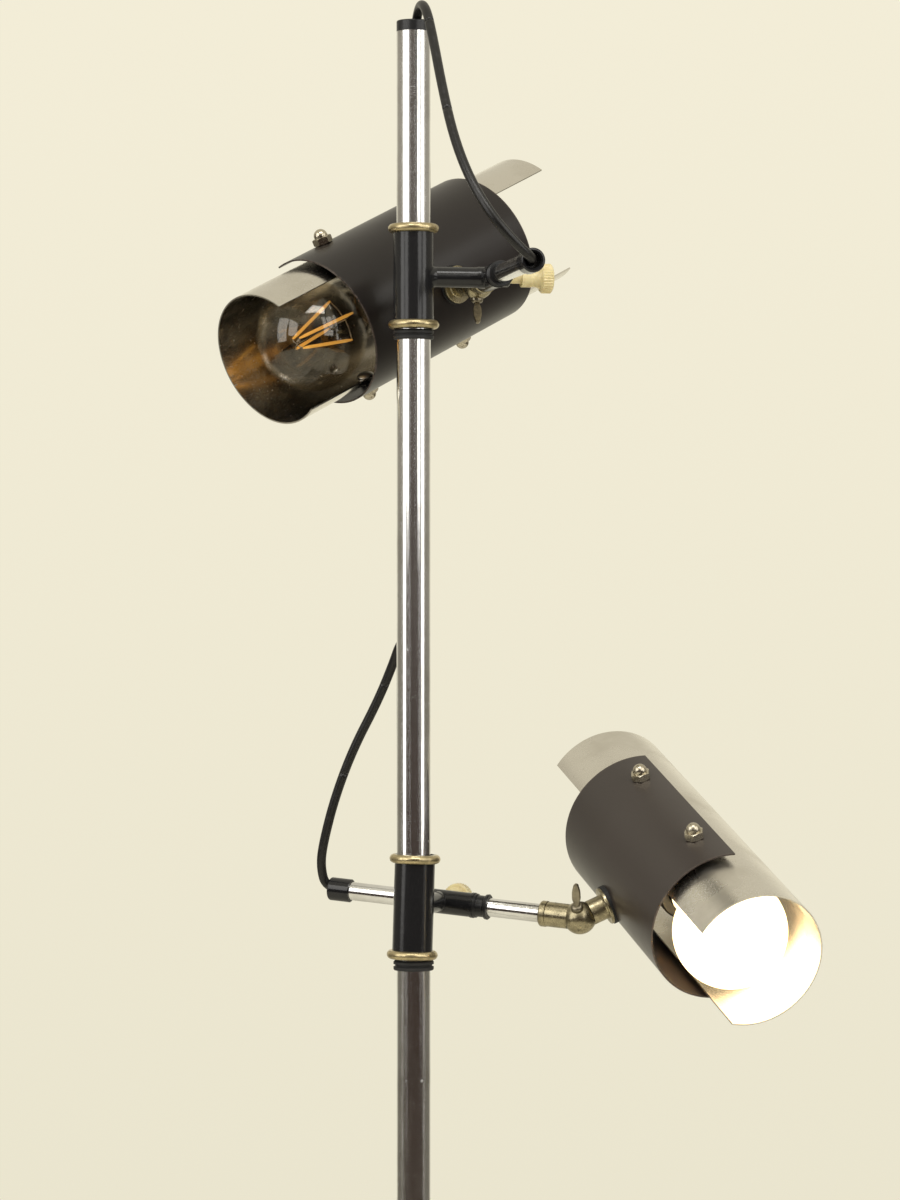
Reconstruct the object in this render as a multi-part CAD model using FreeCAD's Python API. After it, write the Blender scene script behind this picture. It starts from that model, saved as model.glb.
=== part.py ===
"""Floor lamp: one chrome pole with two adjustable spot heads, each on a sliding, turning arm.

Millimetres, +Z up. The origin is on the pole's axis, on the floor, and X runs to the lamp's right
in the view from the front (the viewer looks along +Y). Every head hangs from the same chain of
frames: pole > slider > cross tube > arm > knuckle > shade.
"""
import FreeCAD, Part
import math
import os
from dataclasses import dataclass
from FreeCAD import Matrix, Placement, Rotation, Vector

# ---------------------------------------------------------------- fits and gaps
RUN = 0.05            # radial running fit of a shaft in its hole
SEAT_GAP = 0.05       # gap between two faces that rest on each other across a joint
HOLE_GAP = 0.15       # radial gap of a screw in its hole
CORD_GAP = 0.10       # radial gap of a cord in its hole

# ---------------------------------------------------------------- pole
POLE_TOP = 1400.0
POLE_OD = 18.0
POLE_WALL = 1.2
POLE_FOOT = 6.0       # height of the pole's lower end above the floor
CAP_HEIGHT = 5.8
CAP_PLUG = 12.0
CAP_EDGE = 0.8
CAP_EDGE_SINK = 0.23  # how far the rounded edge draws in half way round it
CAP_LEAD = 1.5        # height of the plug's lead-in

# ---------------------------------------------------------------- base
BASE_OD = 290.0
BASE_EDGE = 14.0      # height of the casting's edge
BASE_CROWN = 20.0     # height of the casting at its socket
BASE_EDGE_ROUND = 3.0
PAD_THICK = 2.0
PAD_OD = 276.0
PAD_ID = 60.0
SOCKET_OD = 46.0
SOCKET_NECK_OD = 25.0
SOCKET_HEIGHT = 34.0
NUT_POCKET_OD = 44.0
NUT_POCKET_DEPTH = 9.0
FOOT_NUT_AF = 27.0
FOOT_NUT_HEIGHT = 6.0
LEAD_TUNNEL_OD = 8.0
LEAD_TUNNEL_HEIGHT = 7.5
LEAD_BORE = 6.0
INLET_OD = 10.4
INLET_LENGTH = 14.0
INLET_TAIL = 7.0

# ---------------------------------------------------------------- cord
CORD_OD = 5.0
CORD_HOLE_R = CORD_OD / 2 + CORD_GAP
CORE_HOLE = 3.6       # hole past the sheath's end, where only the cores go on
GROMMET_OD = 9.0
GROMMET_NECK_R = CORD_HOLE_R + 0.9
GROMMET_LIP = 2.0
GROMMET_TAIL = 1.5

# ---------------------------------------------------------------- slider
SLEEVE_OD = 21.4
SLEEVE_LENGTH = 55.5
MAX_CANT = 1.7        # the loose sleeve leans on the pole under the head's weight
RING_HEIGHT = 4.7
RING_OD = 27.0
STOP_OD = 21.4
STOP_HEIGHT = 5.3
STOP_GROOVE = 0.9
STUB_OD = 10.9
STUB_FLARE = 2.4
ARM_OFFSET = 41.5     # pole axis to arm axis
CROSS_OD = 13.0
CROSS_SHORT = 11.0    # cross tube beyond the stub's axis, plain end
CROSS_LONG = 20.0     # the same, bush end
BUSH_LENGTH = 8.3
BUSH_SPIGOT = 6.0
BUSH_SPIGOT_OD = 11.6
BUSH_LIP_OD = 13.8
BUSH_GROOVE = 0.7
BOSS_OD = 9.6
BOSS_LENGTH = 3.5
SCREW_THREAD = 5.8
KNOB_OD = 15.8
KNOB_THICK = 6.4
KNOB_NECK_OD = 9.6
KNOB_NECK_START = 58.0
KNOB_CENTRE = 71.5    # pole axis to the middle of the knob's head
KNOB_TEETH = 32
KNOB_TOOTH = 0.45

# ---------------------------------------------------------------- arm
ARM_OD = 10.0
ARM_WALL = 1.0
ARM_LENGTH = 143.0    # cord end of the arm to the knuckle's centre
END_CAP_OD = 12.6
END_CAP_LENGTH = 12.5
END_CAP_MOUTH = 8.4
END_CAP_WEB_DEPTH = 7.0
END_CAP_WEB = 1.2
END_CAP_ROUND = 1.3

# ---------------------------------------------------------------- knuckle
BALL_OD = 17.6
BALL_CAVITY = 10.0
BARREL_OD = 13.3
BARREL_START = 18.0   # ball centre to the rim collar
RIM_OD = 13.9
RIM_LENGTH = 3.8
TUBE_SEAT = 10.0      # ball centre to the tube's end inside the barrel
NECK_OD = 13.4
WIRE_BORE = 6.8
FLANGE_OD = 20.4
FLANGE_THICK = 1.5
SADDLE_OD = 21.4
SADDLE_THICK = 1.3
SADDLE_BLANK = 6.0    # its thickness before it is shaped to the shell
KNUCKLE_REACH = 17.2  # ball centre to the black shell's outer face
NIPPLE_OD = 9.8
HINGE_SCREW = 4.0
HUB_OD = 6.6
HUB_SEAT = 8.0        # ball centre to the flat under the wing screw's hub
HUB_HEIGHT = 2.6
WING_LENGTH = 12.4
WING_WIDTH = 4.2
WING_THICK = 1.8
WING_BEND = 25.0

# ---------------------------------------------------------------- shade
SHEET = 0.8
BLACK_OD = 83.0
BLACK_HALF_ANGLE = 114.0
BLACK_REAR = 61.6     # knuckle to the rear edge, along the shade
BLACK_FRONT = 66.8
CHROME_OD = 74.0
CHROME_HALF_ANGLE = 127.3
CHROME_REAR = 106.0
CHROME_FRONT = 107.5
SCREW_ANGLE = 97.0
SCREW_SPACING = 77.0
SCREW_OD = 5.0
PAN_OD = 9.0
PAN_HEIGHT = 2.2
SPACER_OD = 8.0
DOME_NUT_AF = 9.4
DOME_NUT_HEX = 4.0
DOME_NUT_DOME = 7.6
PANEL_NUT_AF = 14.0
PANEL_NUT_HEIGHT = 3.0
BRACKET_WIDTH = 14.0
BRACKET_THICK = 1.5
BRACKET_FRONT = 9.0
BRACKET_REAR = 37.0   # knuckle to the holder's mounting leg, towards the rear
BRACKET_BEND = 3.0

# ---------------------------------------------------------------- lamp holder and bulb
HOLDER_OD = 40.0
HOLDER_FRONT = 20.0
HOLDER_DOME = 14.0    # length of the holder's domed back
HOLDER_STEM_OD = 9.8
HOLDER_STEM = 5.0     # threaded stem beyond the leg
SCREW_SHELL_OD = 26.2
SHELL_GAP = 0.3
CONTACT = -2.0        # the bulb's end contact, along the shade
BULB_CAP_FRONT = 25.0
GLOBE_CENTRE = 73.0
GLOBE_OD = 60.0
GLASS_WALL = 0.9
NECK_GLASS_OD = 27.0
THREAD_PITCH = 3.6
THREAD_DEPTH = 0.9
CAP_WALL = 0.9
FILAMENTS = 4
FILAMENT_OD = 1.8
FILAMENT_REAR_RADIUS = 12.0
FILAMENT_FRONT_RADIUS = 4.0
FILAMENT_REAR = 50.0
FILAMENT_FRONT = 84.0
FILAMENT_START = 0.35  # radians
FILAMENT_TWIST = 0.5
STEM_OD = 6.0
STEM_TOP = 58.0
WIRE_OD = 0.9
INNER_LEAD_OD = 4.6


@dataclass(frozen=True)
class HeadSetting:
    """How one head stands: all that differs between the two units."""

    name: str
    drop: float           # middle of the sleeve below the pole's top
    swivel: float         # direction of the stub round the pole
    cant: float           # lean of the sleeve on the pole
    cant_towards: float   # direction that it leans in, round the pole
    side: int             # knuckle at the plain end (+1) or at the bush end (-1)
    droop: float          # the cross tube is brazed this far off level
    reach: float          # stub axis to ball centre, along the arm
    roll: float           # turn of the arm in the cross tube
    bend: float           # knuckle angle
    shade_turn: float     # shade on the knuckle's nipple
    wing_turn: float      # wing screw round its own axis


UPPER_DROP = 129.2
UPPER_REACH = 35.1
LOWER_DROP = 462.4
LOWER_REACH = 79.4
UPPER = HeadSetting("upper", UPPER_DROP, 11.0, 0.8, 95.0, 1, 0.0, UPPER_REACH, 2.0, -33.0, -64.3, 90.0)
LOWER = HeadSetting("lower", LOWER_DROP, 70.6, 1.7, 9.0, -1, 3.2, LOWER_REACH, 46.4, 40.7, -72.2, 0.0)

# Free cords, from the pole to the arm's end: corners chosen by hand, with z from the pole's top,
# and the two runs in which the cord passes from one moving part to the next.
UPPER_CORD_ROUTE = [
    (0.9, 2.5, 1.2), (2.6, -9.0, 13.2), (6.6, -25.5, 10.2), (10.6, -41.0, -9.3), (15.0, -62.0, -35.3),
    (21.0, -85.0, -64.3), (29.5, -102.0, -88.3), (41.0, -111.0, -107.8), (54.0, -107.5, -122.0),
]
UPPER_CORD_SPLITS = (2, 4)
LOWER_CORD_ROUTE = [
    (-1.4, 3.9, -319.3), (-6.5, 17.5, -320.8), (-11.5, 26.0, -335.3), (-19.8, 33.0, -355.3),
    (-33.0, 41.5, -380.8), (-43.0, 48.5, -407.3), (-49.5, 54.0, -432.3), (-51.2, 57.6, -445.3),
]
LOWER_CORD_SPLITS = (2, 4)
UPPER_CORD_STANDOFF = 1.5   # the cord's last corner, in front of the arm's mouth
LOWER_CORD_STANDOFF = 2.5

# ---------------------------------------------------------------- sizes that follow
POLE_R = POLE_OD / 2
SLEEVE_HALF = SLEEVE_LENGTH / 2
SLEEVE_BORE_R = POLE_R + SLEEVE_HALF * math.tan(math.radians(MAX_CANT)) + 2 * RUN
ARM_R = ARM_OD / 2
BLACK_R = BLACK_OD / 2
CHROME_R = CHROME_OD / 2
NUT_MIDDLE = (BLACK_FRONT - BLACK_REAR) / 2
CORD_R = CORD_OD / 2
STRIP_TOP = math.sqrt((BLACK_R - SHEET) ** 2 - (BRACKET_WIDTH / 2) ** 2) - SEAT_GAP
STRIP_BOTTOM = STRIP_TOP - BRACKET_THICK
PANEL_NUT_BOTTOM = STRIP_BOTTOM - PANEL_NUT_HEIGHT
HOLE_REACH = POLE_OD + CAP_PLUG


# ---------------------------------------------------------------- drawing helpers
def outline(start, *steps):
    """A closed face in the XZ plane; a step is a corner (r, z) or an arc ((r, z) on it, (r, z)).

    A corner that repeats the one before it is passed over.
    """
    here = Vector(start[0], 0, start[1])
    first = here
    edges = []
    for step in steps:
        if isinstance(step[0], tuple):
            middle = Vector(step[0][0], 0, step[0][1])
            there = Vector(step[1][0], 0, step[1][1])
            edges.append(Part.Arc(here, middle, there).toShape())
        else:
            there = Vector(step[0], 0, step[1])
            if here.distanceToPoint(there) > 1e-6:
                edges.append(Part.LineSegment(here, there).toShape())
        here = there
    if here.distanceToPoint(first) > 1e-6:
        edges.append(Part.LineSegment(here, first).toShape())
    return Part.Face(Part.Wire(edges))


def turned(start, *steps):
    """The outline spun round the Z axis."""
    return outline(start, *steps).revolve(Vector(), Vector(0, 0, 1), 360)


def rod(radius, z_from, z_to):
    """A plain cylinder on the Z axis."""
    return Part.makeCylinder(radius, z_to - z_from, Vector(0, 0, z_from))


def tube(outer, inner, z_from, z_to):
    """A plain tube on the Z axis."""
    return rod(outer, z_from, z_to).cut(rod(inner, z_from - 1, z_to + 1))


def on_axis(shape, axis, origin=Vector()):
    """Turns a shape made on the Z axis to stand on another one."""
    return at(shape, Placement(origin, Rotation(Vector(0, 0, 1), axis)))


def at(shape, placement):
    """A copy of the shape, placed."""
    moved = shape.copy()
    moved.Placement = placement.multiply(moved.Placement)
    return moved


def axes(origin, x_axis, z_axis):
    """A frame from its origin and two of its axes."""
    y_axis = z_axis.cross(x_axis)
    rows = [(x_axis[i], y_axis[i], z_axis[i], origin[i]) for i in range(3)]
    values = [value for row in rows for value in row] + [0, 0, 0, 1]
    return Placement(Matrix(*values))


def turn(axis, degrees):
    """A turn about an axis through the origin."""
    return Placement(Vector(), Rotation(axis, degrees))


def shift(x, y, z):
    """A plain move."""
    return Placement(Vector(x, y, z), Rotation())


def hexagon(across_flats, z_from, z_to):
    """A hexagonal prism on the Z axis."""
    corner = across_flats / 2 / math.cos(math.radians(30))
    turns = [math.radians(60 * i) for i in range(7)]
    points = [Vector(corner * math.cos(angle), corner * math.sin(angle), z_from) for angle in turns]
    return Part.Face(Part.makePolygon(points)).extrude(Vector(0, 0, z_to - z_from))


def chamfered_hexagon(across_flats, z_from, z_to, top=True, bottom=False):
    """A nut's hexagon with its corners turned down at one or both ends."""
    corner = across_flats / 2 / math.cos(math.radians(30))
    flat = across_flats / 2 * 0.97
    drop = (corner - flat) * 0.58
    low = drop if bottom else 0.0
    high = drop if top else 0.0
    cone = turned((0, z_from), (flat if bottom else corner, z_from), (corner, z_from + low),
                  (corner, z_to - high), (flat if top else corner, z_to), (0, z_to))
    return hexagon(across_flats, z_from, z_to).common(cone)


def curved_sheet(outer, z_from, z_to, centre_angle, half_angle):
    """Part of a thin cylinder round the Z axis, open along its length."""
    face = outline((outer - SHEET, z_from), (outer, z_from), (outer, z_to), (outer - SHEET, z_to))
    face.rotate(Vector(), Vector(0, 0, 1), centre_angle - half_angle)
    return face.revolve(Vector(), Vector(0, 0, 1), 2 * half_angle)


def cord_tube(points, radius, label):
    """A cord along straight runs joined by tangent arcs; prints its radii and its volume check."""
    corners = [Vector(*p) for p in points]
    edges = []
    radii = []
    here = corners[0]
    for before, corner, after in zip(corners, corners[1:], corners[2:]):
        into = (corner - before).normalize()
        out = (after - corner).normalize()
        half_turn = into.getAngle(out) / 2
        shorter = min((corner - before).Length, (after - corner).Length)
        tangent = 0.45 * shorter
        bend = tangent / math.tan(half_turn)
        radii.append(bend)
        start = corner - into * tangent
        end = corner + out * tangent
        bisector = (out - into).normalize()
        centre_gap = bend / math.cos(half_turn)
        middle = corner + bisector * (centre_gap - bend)
        edges.append(Part.LineSegment(here, start).toShape())
        edges.append(Part.Arc(start, middle, end).toShape())
        here = end
    edges.append(Part.LineSegment(here, corners[-1]).toShape())
    spine = Part.Wire(edges)
    first = (corners[1] - corners[0]).normalize()
    section = Part.Wire(Part.Circle(corners[0], first, radius).toShape())
    solid = spine.makePipeShell([section], True, False)
    ideal = math.pi * radius ** 2 * spine.Length
    print("%s: length %.1f, radii %s, volume / (section x length) %.5f"
          % (label, spine.Length, " ".join("%.1f" % r for r in radii), solid.Volume / ideal))
    return solid


# ---------------------------------------------------------------- frames of one head
class HeadFrames:
    """The chain of frames from the pole out to the shade, at the photographed setting."""

    def __init__(self, setting):
        up = Vector(0, 0, 1)
        lean = math.radians(setting.cant_towards)
        lean_axis = Vector(-math.sin(lean), math.cos(lean), 0)
        self.ring = shift(0, 0, POLE_TOP - setting.drop)
        self.slider = self.ring.multiply(turn(lean_axis, setting.cant)).multiply(turn(up, setting.swivel))
        brazed = turn(Vector(1, 0, 0), -setting.side * setting.droop)
        self.cross = self.slider.multiply(shift(ARM_OFFSET, 0, 0)).multiply(brazed)
        along = axes(Vector(), Vector(1, 0, 0), Vector(0, setting.side, 0))
        self.arm = self.cross.multiply(along)
        self.mouth = setting.reach - ARM_LENGTH
        rolled = self.arm.multiply(turn(up, setting.roll))
        self.rolled_arm = rolled
        self.ball = rolled.multiply(shift(0, 0, setting.reach))
        self.head = self.ball.multiply(turn(Vector(0, 1, 0), setting.bend))
        phi = math.radians(setting.shade_turn)
        shade_axis = Vector(math.sin(phi), math.cos(phi), 0)
        origin = Vector(0, 0, KNUCKLE_REACH + BLACK_R)
        self.shade = self.head.multiply(axes(origin, Vector(0, 0, -1), shade_axis))


# ---------------------------------------------------------------- base and pole
def base_plate():
    """Cast disc with a shallow dome, a nut pocket below and a tunnel for the mains lead."""
    radius = BASE_OD / 2
    floor = PAD_THICK
    edge = BASE_EDGE_ROUND
    sink = edge * (1 - math.sqrt(0.5))
    shoulder = BASE_EDGE + 0.72 * (BASE_CROWN - BASE_EDGE)
    disc = turned((0, floor), (radius - edge, floor),
                  ((radius - sink, floor + sink), (radius, floor + edge)), (radius, BASE_EDGE - edge),
                  ((radius - sink, BASE_EDGE - sink), (radius - edge, BASE_EDGE)),
                  ((radius * 0.55, shoulder), (SOCKET_OD / 2, BASE_CROWN)), (0, BASE_CROWN))
    hole = rod(POLE_R + RUN, 0, BASE_CROWN + 1)
    pocket = rod(NUT_POCKET_OD / 2, 0, floor + NUT_POCKET_DEPTH)
    tunnel = on_axis(rod(LEAD_TUNNEL_OD / 2, NUT_POCKET_OD / 2 - 4, radius + 5), Vector(0, 1, 0),
                     Vector(0, 0, LEAD_TUNNEL_HEIGHT))
    return disc.cut(hole).cut(pocket).cut(tunnel)


def base_pad():
    """Felt ring that the lamp stands on."""
    return tube(PAD_OD / 2, PAD_ID / 2, 0, PAD_THICK)


def pole_socket():
    """Turned collar that holds the pole upright on the base."""
    foot = SOCKET_OD / 2
    neck = SOCKET_NECK_OD / 2
    top = BASE_CROWN + SOCKET_HEIGHT
    waist = BASE_CROWN + 6.0
    body = turned((0, BASE_CROWN), (foot, BASE_CROWN), (foot, waist - 2),
                  ((foot - 3.5, waist + 2.5), (neck + 1.2, waist + 9)), (neck, waist + 12), (neck, top - 1.2),
                  ((neck - 0.35, top - 0.35), (neck - 1.2, top)), (0, top))
    return body.cut(rod(POLE_R + RUN, 0, top + 1))


def foot_nut():
    """Flanged nut under the base that draws the pole down into its socket."""
    top = PAD_THICK + NUT_POCKET_DEPTH
    flange = rod(FOOT_NUT_AF / 2 + 4, top - 1.6, top)
    body = chamfered_hexagon(FOOT_NUT_AF, top - FOOT_NUT_HEIGHT, top - 1.6, top=False, bottom=True)
    return flange.fuse(body).cut(rod(POLE_R, 0, top + 1)).removeSplitter()


def mains_inlet_grommet():
    """Rubber sleeve in the back edge of the base; its bore takes the mains lead."""
    back = BASE_OD / 2
    body = turned((0, -INLET_LENGTH), (LEAD_TUNNEL_OD / 2, -INLET_LENGTH), (LEAD_TUNNEL_OD / 2, 0.1),
                  (INLET_OD / 2, 0.1), (INLET_OD / 2, 1.4), (LEAD_TUNNEL_OD / 2, INLET_TAIL), (0, INLET_TAIL))
    bored = body.cut(rod(LEAD_BORE / 2, -INLET_LENGTH - 1, INLET_TAIL + 1))
    return on_axis(bored, Vector(0, 1, 0), Vector(0, back, LEAD_TUNNEL_HEIGHT))


def cord_start(route):
    """Where a cord's sheath begins inside the pole, and the way it points."""
    start = route_point(route[0])
    return start, (route_point(route[1]) - start).normalize()


def route_point(corner):
    """A corner of a cord's route, from the pole's top."""
    return Vector(corner[0], corner[1], POLE_TOP + corner[2])


def cord_hole(route, back):
    """The hole for a cord's first stretch: full size outwards, core size inwards."""
    start, out = cord_start(route)
    wide = Part.makeCylinder(CORD_HOLE_R, HOLE_REACH, start, out)
    cores = Part.makeCylinder(CORE_HOLE / 2, back, start, out * -1)
    return wide, cores


def pole():
    """Chrome tube, with the lower cord's hole in its back."""
    body = tube(POLE_R, POLE_R - POLE_WALL, POLE_FOOT, POLE_TOP)
    start, out = cord_start(LOWER_CORD_ROUTE)
    return body.cut(Part.makeCylinder(GROMMET_NECK_R, HOLE_REACH, start, out))


def pole_cap():
    """Black plug that closes the pole's top, with a slanting hole for the upper cord."""
    top = POLE_TOP + CAP_HEIGHT
    plug = POLE_R - POLE_WALL
    foot = POLE_TOP - CAP_PLUG
    sink = CAP_EDGE_SINK
    body = turned((0, foot), (plug - CAP_EDGE, foot), (plug, foot + CAP_LEAD), (plug, POLE_TOP),
                  (POLE_R, POLE_TOP), (POLE_R, top - CAP_EDGE),
                  ((POLE_R - sink, top - sink), (POLE_R - CAP_EDGE, top)), (0, top))
    wide, cores = cord_hole(UPPER_CORD_ROUTE, HOLE_REACH)
    return body.cut(wide).cut(cores)


def cord_grommet():
    """Rubber bush for the lower cord in the pole's back."""
    start, out = cord_start(LOWER_CORD_ROUTE)
    rim = GROMMET_OD / 2
    face = POLE_R - math.hypot(start.x, start.y)
    top = face + GROMMET_LIP
    body = turned((0, -GROMMET_TAIL), (GROMMET_NECK_R, -GROMMET_TAIL), (GROMMET_NECK_R, face - 0.6),
                  (rim, face - 0.6), (rim, top - 0.7), ((rim - 0.3, top - 0.2), (rim - 1.0, top)), (0, top))
    wall = tube(POLE_R + 0.02, POLE_R - POLE_WALL, start.z - POLE_OD, start.z + POLE_OD)
    wall = wall.cut(Part.makeCylinder(GROMMET_NECK_R, HOLE_REACH, start - out * GROMMET_OD, out))
    wide, cores = cord_hole(LOWER_CORD_ROUTE, POLE_R)
    return on_axis(body, out, start).cut(wall).cut(wide).cut(cores)


# ---------------------------------------------------------------- slider
def stop_ring(setting):
    """Grooved rubber ring, tight on the pole, that the slider rests on."""
    lowest = SLEEVE_HALF * math.cos(math.radians(setting.cant))
    lowest += (SLEEVE_OD / 2 + 0.6) * math.sin(math.radians(setting.cant))
    top = -lowest - SEAT_GAP
    outer = STOP_OD / 2
    groove = outer - STOP_GROOVE
    low = top - STOP_HEIGHT
    step = STOP_HEIGHT / 6
    return turned((POLE_R + RUN, low), (outer - 0.4, low), (outer, low + 0.5), (outer, low + 2 * step),
                  (groove, low + 2.4 * step), (groove, low + 3.2 * step), (outer, low + 3.6 * step),
                  (outer, top - 0.9), (outer - 0.9, top), (POLE_R + RUN, top))


def slider_body():
    """Sleeve with the flared stub that carries the cross tube."""
    sleeve_r = SLEEVE_OD / 2
    stub_r = STUB_OD / 2
    cross_r = CROSS_OD / 2
    sleeve = rod(sleeve_r, -SLEEVE_HALF, SLEEVE_HALF)
    lift = STUB_FLARE * (1 - math.sqrt(0.5))
    root = math.sqrt(sleeve_r ** 2 - (stub_r + STUB_FLARE) ** 2)
    end = ARM_OFFSET - cross_r
    flare_end = end - 0.4
    flare = 1.0
    stub = turned((0, 0), (stub_r + STUB_FLARE, 0), (stub_r + STUB_FLARE, root),
                  ((stub_r + lift, root + STUB_FLARE - lift + 1.0), (stub_r, root + STUB_FLARE + 2.0)),
                  (stub_r, flare_end - flare), (stub_r + 0.35, flare_end), (stub_r + 0.35, ARM_OFFSET),
                  (0, ARM_OFFSET))
    return sleeve.fuse(on_axis(stub, Vector(1, 0, 0)))


def cross_tube():
    """Cross tube in its own frame: the arm's bore, the bush's counterbore and the screw's boss."""
    cross_r = CROSS_OD / 2
    lip = 0.35
    body = turned((0, -CROSS_SHORT), (cross_r - 0.5, -CROSS_SHORT), (cross_r, -CROSS_SHORT + 0.5),
                  (cross_r, CROSS_LONG - 2.0), (cross_r + lip, CROSS_LONG - 1.6), (cross_r + lip, CROSS_LONG),
                  (0, CROSS_LONG))
    boss = turned((0, 0), (BOSS_OD / 2, 0), (BOSS_OD / 2, cross_r + BOSS_LENGTH - 0.6),
                  (BOSS_OD / 2 - 0.6, cross_r + BOSS_LENGTH), (0, cross_r + BOSS_LENGTH))
    return on_axis(body, Vector(0, -1, 0)).fuse(on_axis(boss, Vector(1, 0, 0)))


def slider_casting(setting, frames):
    """The brazed slider, with its bores cut last."""
    joined = at(slider_body(), frames.slider).fuse(at(cross_tube(), frames.cross))
    pole_bore = at(rod(SLEEVE_BORE_R, -SLEEVE_HALF - 1, SLEEVE_HALF + 1), frames.slider)
    arm_bore = on_axis(rod(ARM_R + RUN, -CROSS_SHORT - 1, CROSS_LONG + 1), Vector(0, -1, 0))
    seat = on_axis(rod(BUSH_SPIGOT_OD / 2, CROSS_LONG - BUSH_SPIGOT, CROSS_LONG + 1), Vector(0, -1, 0))
    thread = on_axis(rod(SCREW_THREAD / 2 + RUN, 0, 20), Vector(1, 0, 0))
    for hole in (arm_bore, seat, thread):
        joined = joined.cut(at(hole, frames.cross))
    return joined.cut(pole_bore)


def slider_rings():
    """Two half-round brass beads on the ends of the sleeve."""
    bead = RING_HEIGHT / 2
    inner = SLEEVE_OD / 2
    flat = RING_OD / 2 - bead
    rings = []
    for middle in (-SLEEVE_HALF + bead, SLEEVE_HALF - bead):
        ring = turned((inner, middle - bead), (flat, middle - bead),
                      ((flat + bead, middle), (flat, middle + bead)), (inner, middle + bead))
        rings.append(ring)
    return Part.makeCompound(rings)


def arm_bush():
    """Ridged plastic bush in the long end of the cross tube."""
    start = CROSS_LONG
    end = CROSS_LONG + BUSH_LENGTH
    outer = BUSH_LIP_OD / 2
    body_r = CROSS_OD / 2
    groove = body_r - BUSH_GROOVE
    bush = turned((ARM_R + RUN, start - BUSH_SPIGOT), (BUSH_SPIGOT_OD / 2, start - BUSH_SPIGOT),
                  (BUSH_SPIGOT_OD / 2, start), (body_r, start), (body_r, start + 1.4), (groove, start + 1.9),
                  (groove, end - 2.6), (outer - 0.2, end - 1.8), (outer, end - 0.5), (outer - 0.5, end),
                  (ARM_R + RUN, end))
    return on_axis(bush, Vector(0, -1, 0))


def thumbscrew():
    """Moulded knob with a toothed head, a tapered neck and its clamping thread."""
    tip = ARM_R + SEAT_GAP
    neck_start = KNOB_NECK_START - ARM_OFFSET
    head_start = KNOB_CENTRE - KNOB_THICK / 2 - ARM_OFFSET
    head_end = head_start + KNOB_THICK
    head_r = KNOB_OD / 2
    neck_r = KNOB_NECK_OD / 2
    thread_r = SCREW_THREAD / 2
    shank = turned((0, tip), (thread_r, tip), (thread_r, neck_start), (neck_r, neck_start),
                   (neck_r, neck_start + 5), ((neck_r + 0.25, head_start - 1.6), (neck_r + 1.4, head_start)),
                   (0, head_start))
    points = []
    for i in range(KNOB_TEETH * 2 + 1):
        radius = head_r if i % 2 == 0 else head_r - KNOB_TOOTH
        angle = math.pi * i / KNOB_TEETH
        points.append(Vector(radius * math.cos(angle), radius * math.sin(angle), head_start))
    head = Part.Face(Part.makePolygon(points)).extrude(Vector(0, 0, KNOB_THICK))
    blank = turned((0, head_start), (head_r - 1.0, head_start), (head_r, head_start + 0.9),
                   (head_r, head_end - 0.9), (head_r - 1.0, head_end), (head_r - 3.0, head_end),
                   (head_r - 3.4, head_end - 0.5), (0, head_end - 0.5))
    knob = shank.fuse(head.common(blank))
    return on_axis(knob, Vector(1, 0, 0))


# ---------------------------------------------------------------- arm and knuckle
def arm_end_cap(mouth):
    """Black cap on the cord's end of the arm, with a wide mouth and a web that stops the sheath."""
    outer = END_CAP_OD / 2
    opening = END_CAP_MOUTH / 2
    web = mouth + END_CAP_WEB_DEPTH
    tube_end = web + END_CAP_WEB
    end = mouth + END_CAP_LENGTH
    round_ = END_CAP_ROUND
    sink = round_ * (1 - math.sqrt(0.5))
    return turned((opening + 0.9, mouth), (outer - round_, mouth),
                  ((outer - sink, mouth + sink), (outer, mouth + round_)), (outer, end - 0.4),
                  (outer - 0.4, end), (ARM_R + RUN, end), (ARM_R + RUN, tube_end),
                  (CORE_HOLE / 2, tube_end), (CORE_HOLE / 2, web), (opening, web), (opening, mouth + 0.9))


def arm_tube(mouth, reach):
    """Chrome tube of the arm."""
    start = mouth + END_CAP_WEB_DEPTH + END_CAP_WEB + SEAT_GAP
    return tube(ARM_R, ARM_R - ARM_WALL, start, reach - TUBE_SEAT)


def ball_half(side):
    """Half of the knuckle's hollow ball on one side of the joint's face, with the screw's hole."""
    radius = BALL_OD / 2
    ball = Part.makeSphere(radius).cut(Part.makeSphere(BALL_CAVITY / 2))
    far = 2 * radius
    keep = Part.makeBox(2 * far, far, 2 * far, Vector(-far, SEAT_GAP / 2, -far))
    if side < 0:
        keep = Part.makeBox(2 * far, far, 2 * far, Vector(-far, -far - SEAT_GAP / 2, -far))
    return ball.common(keep)


def clear_half(side):
    """The space that the other half of the ball turns in."""
    radius = BALL_OD / 2 + 0.3
    far = 2 * radius
    box = Part.makeBox(2 * far, far + SEAT_GAP / 2, 2 * far, Vector(-far, -SEAT_GAP / 2, -far))
    if side < 0:
        box = Part.makeBox(2 * far, far + SEAT_GAP / 2, 2 * far, Vector(-far, -far, -far))
    return Part.makeSphere(radius).common(box)


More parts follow.
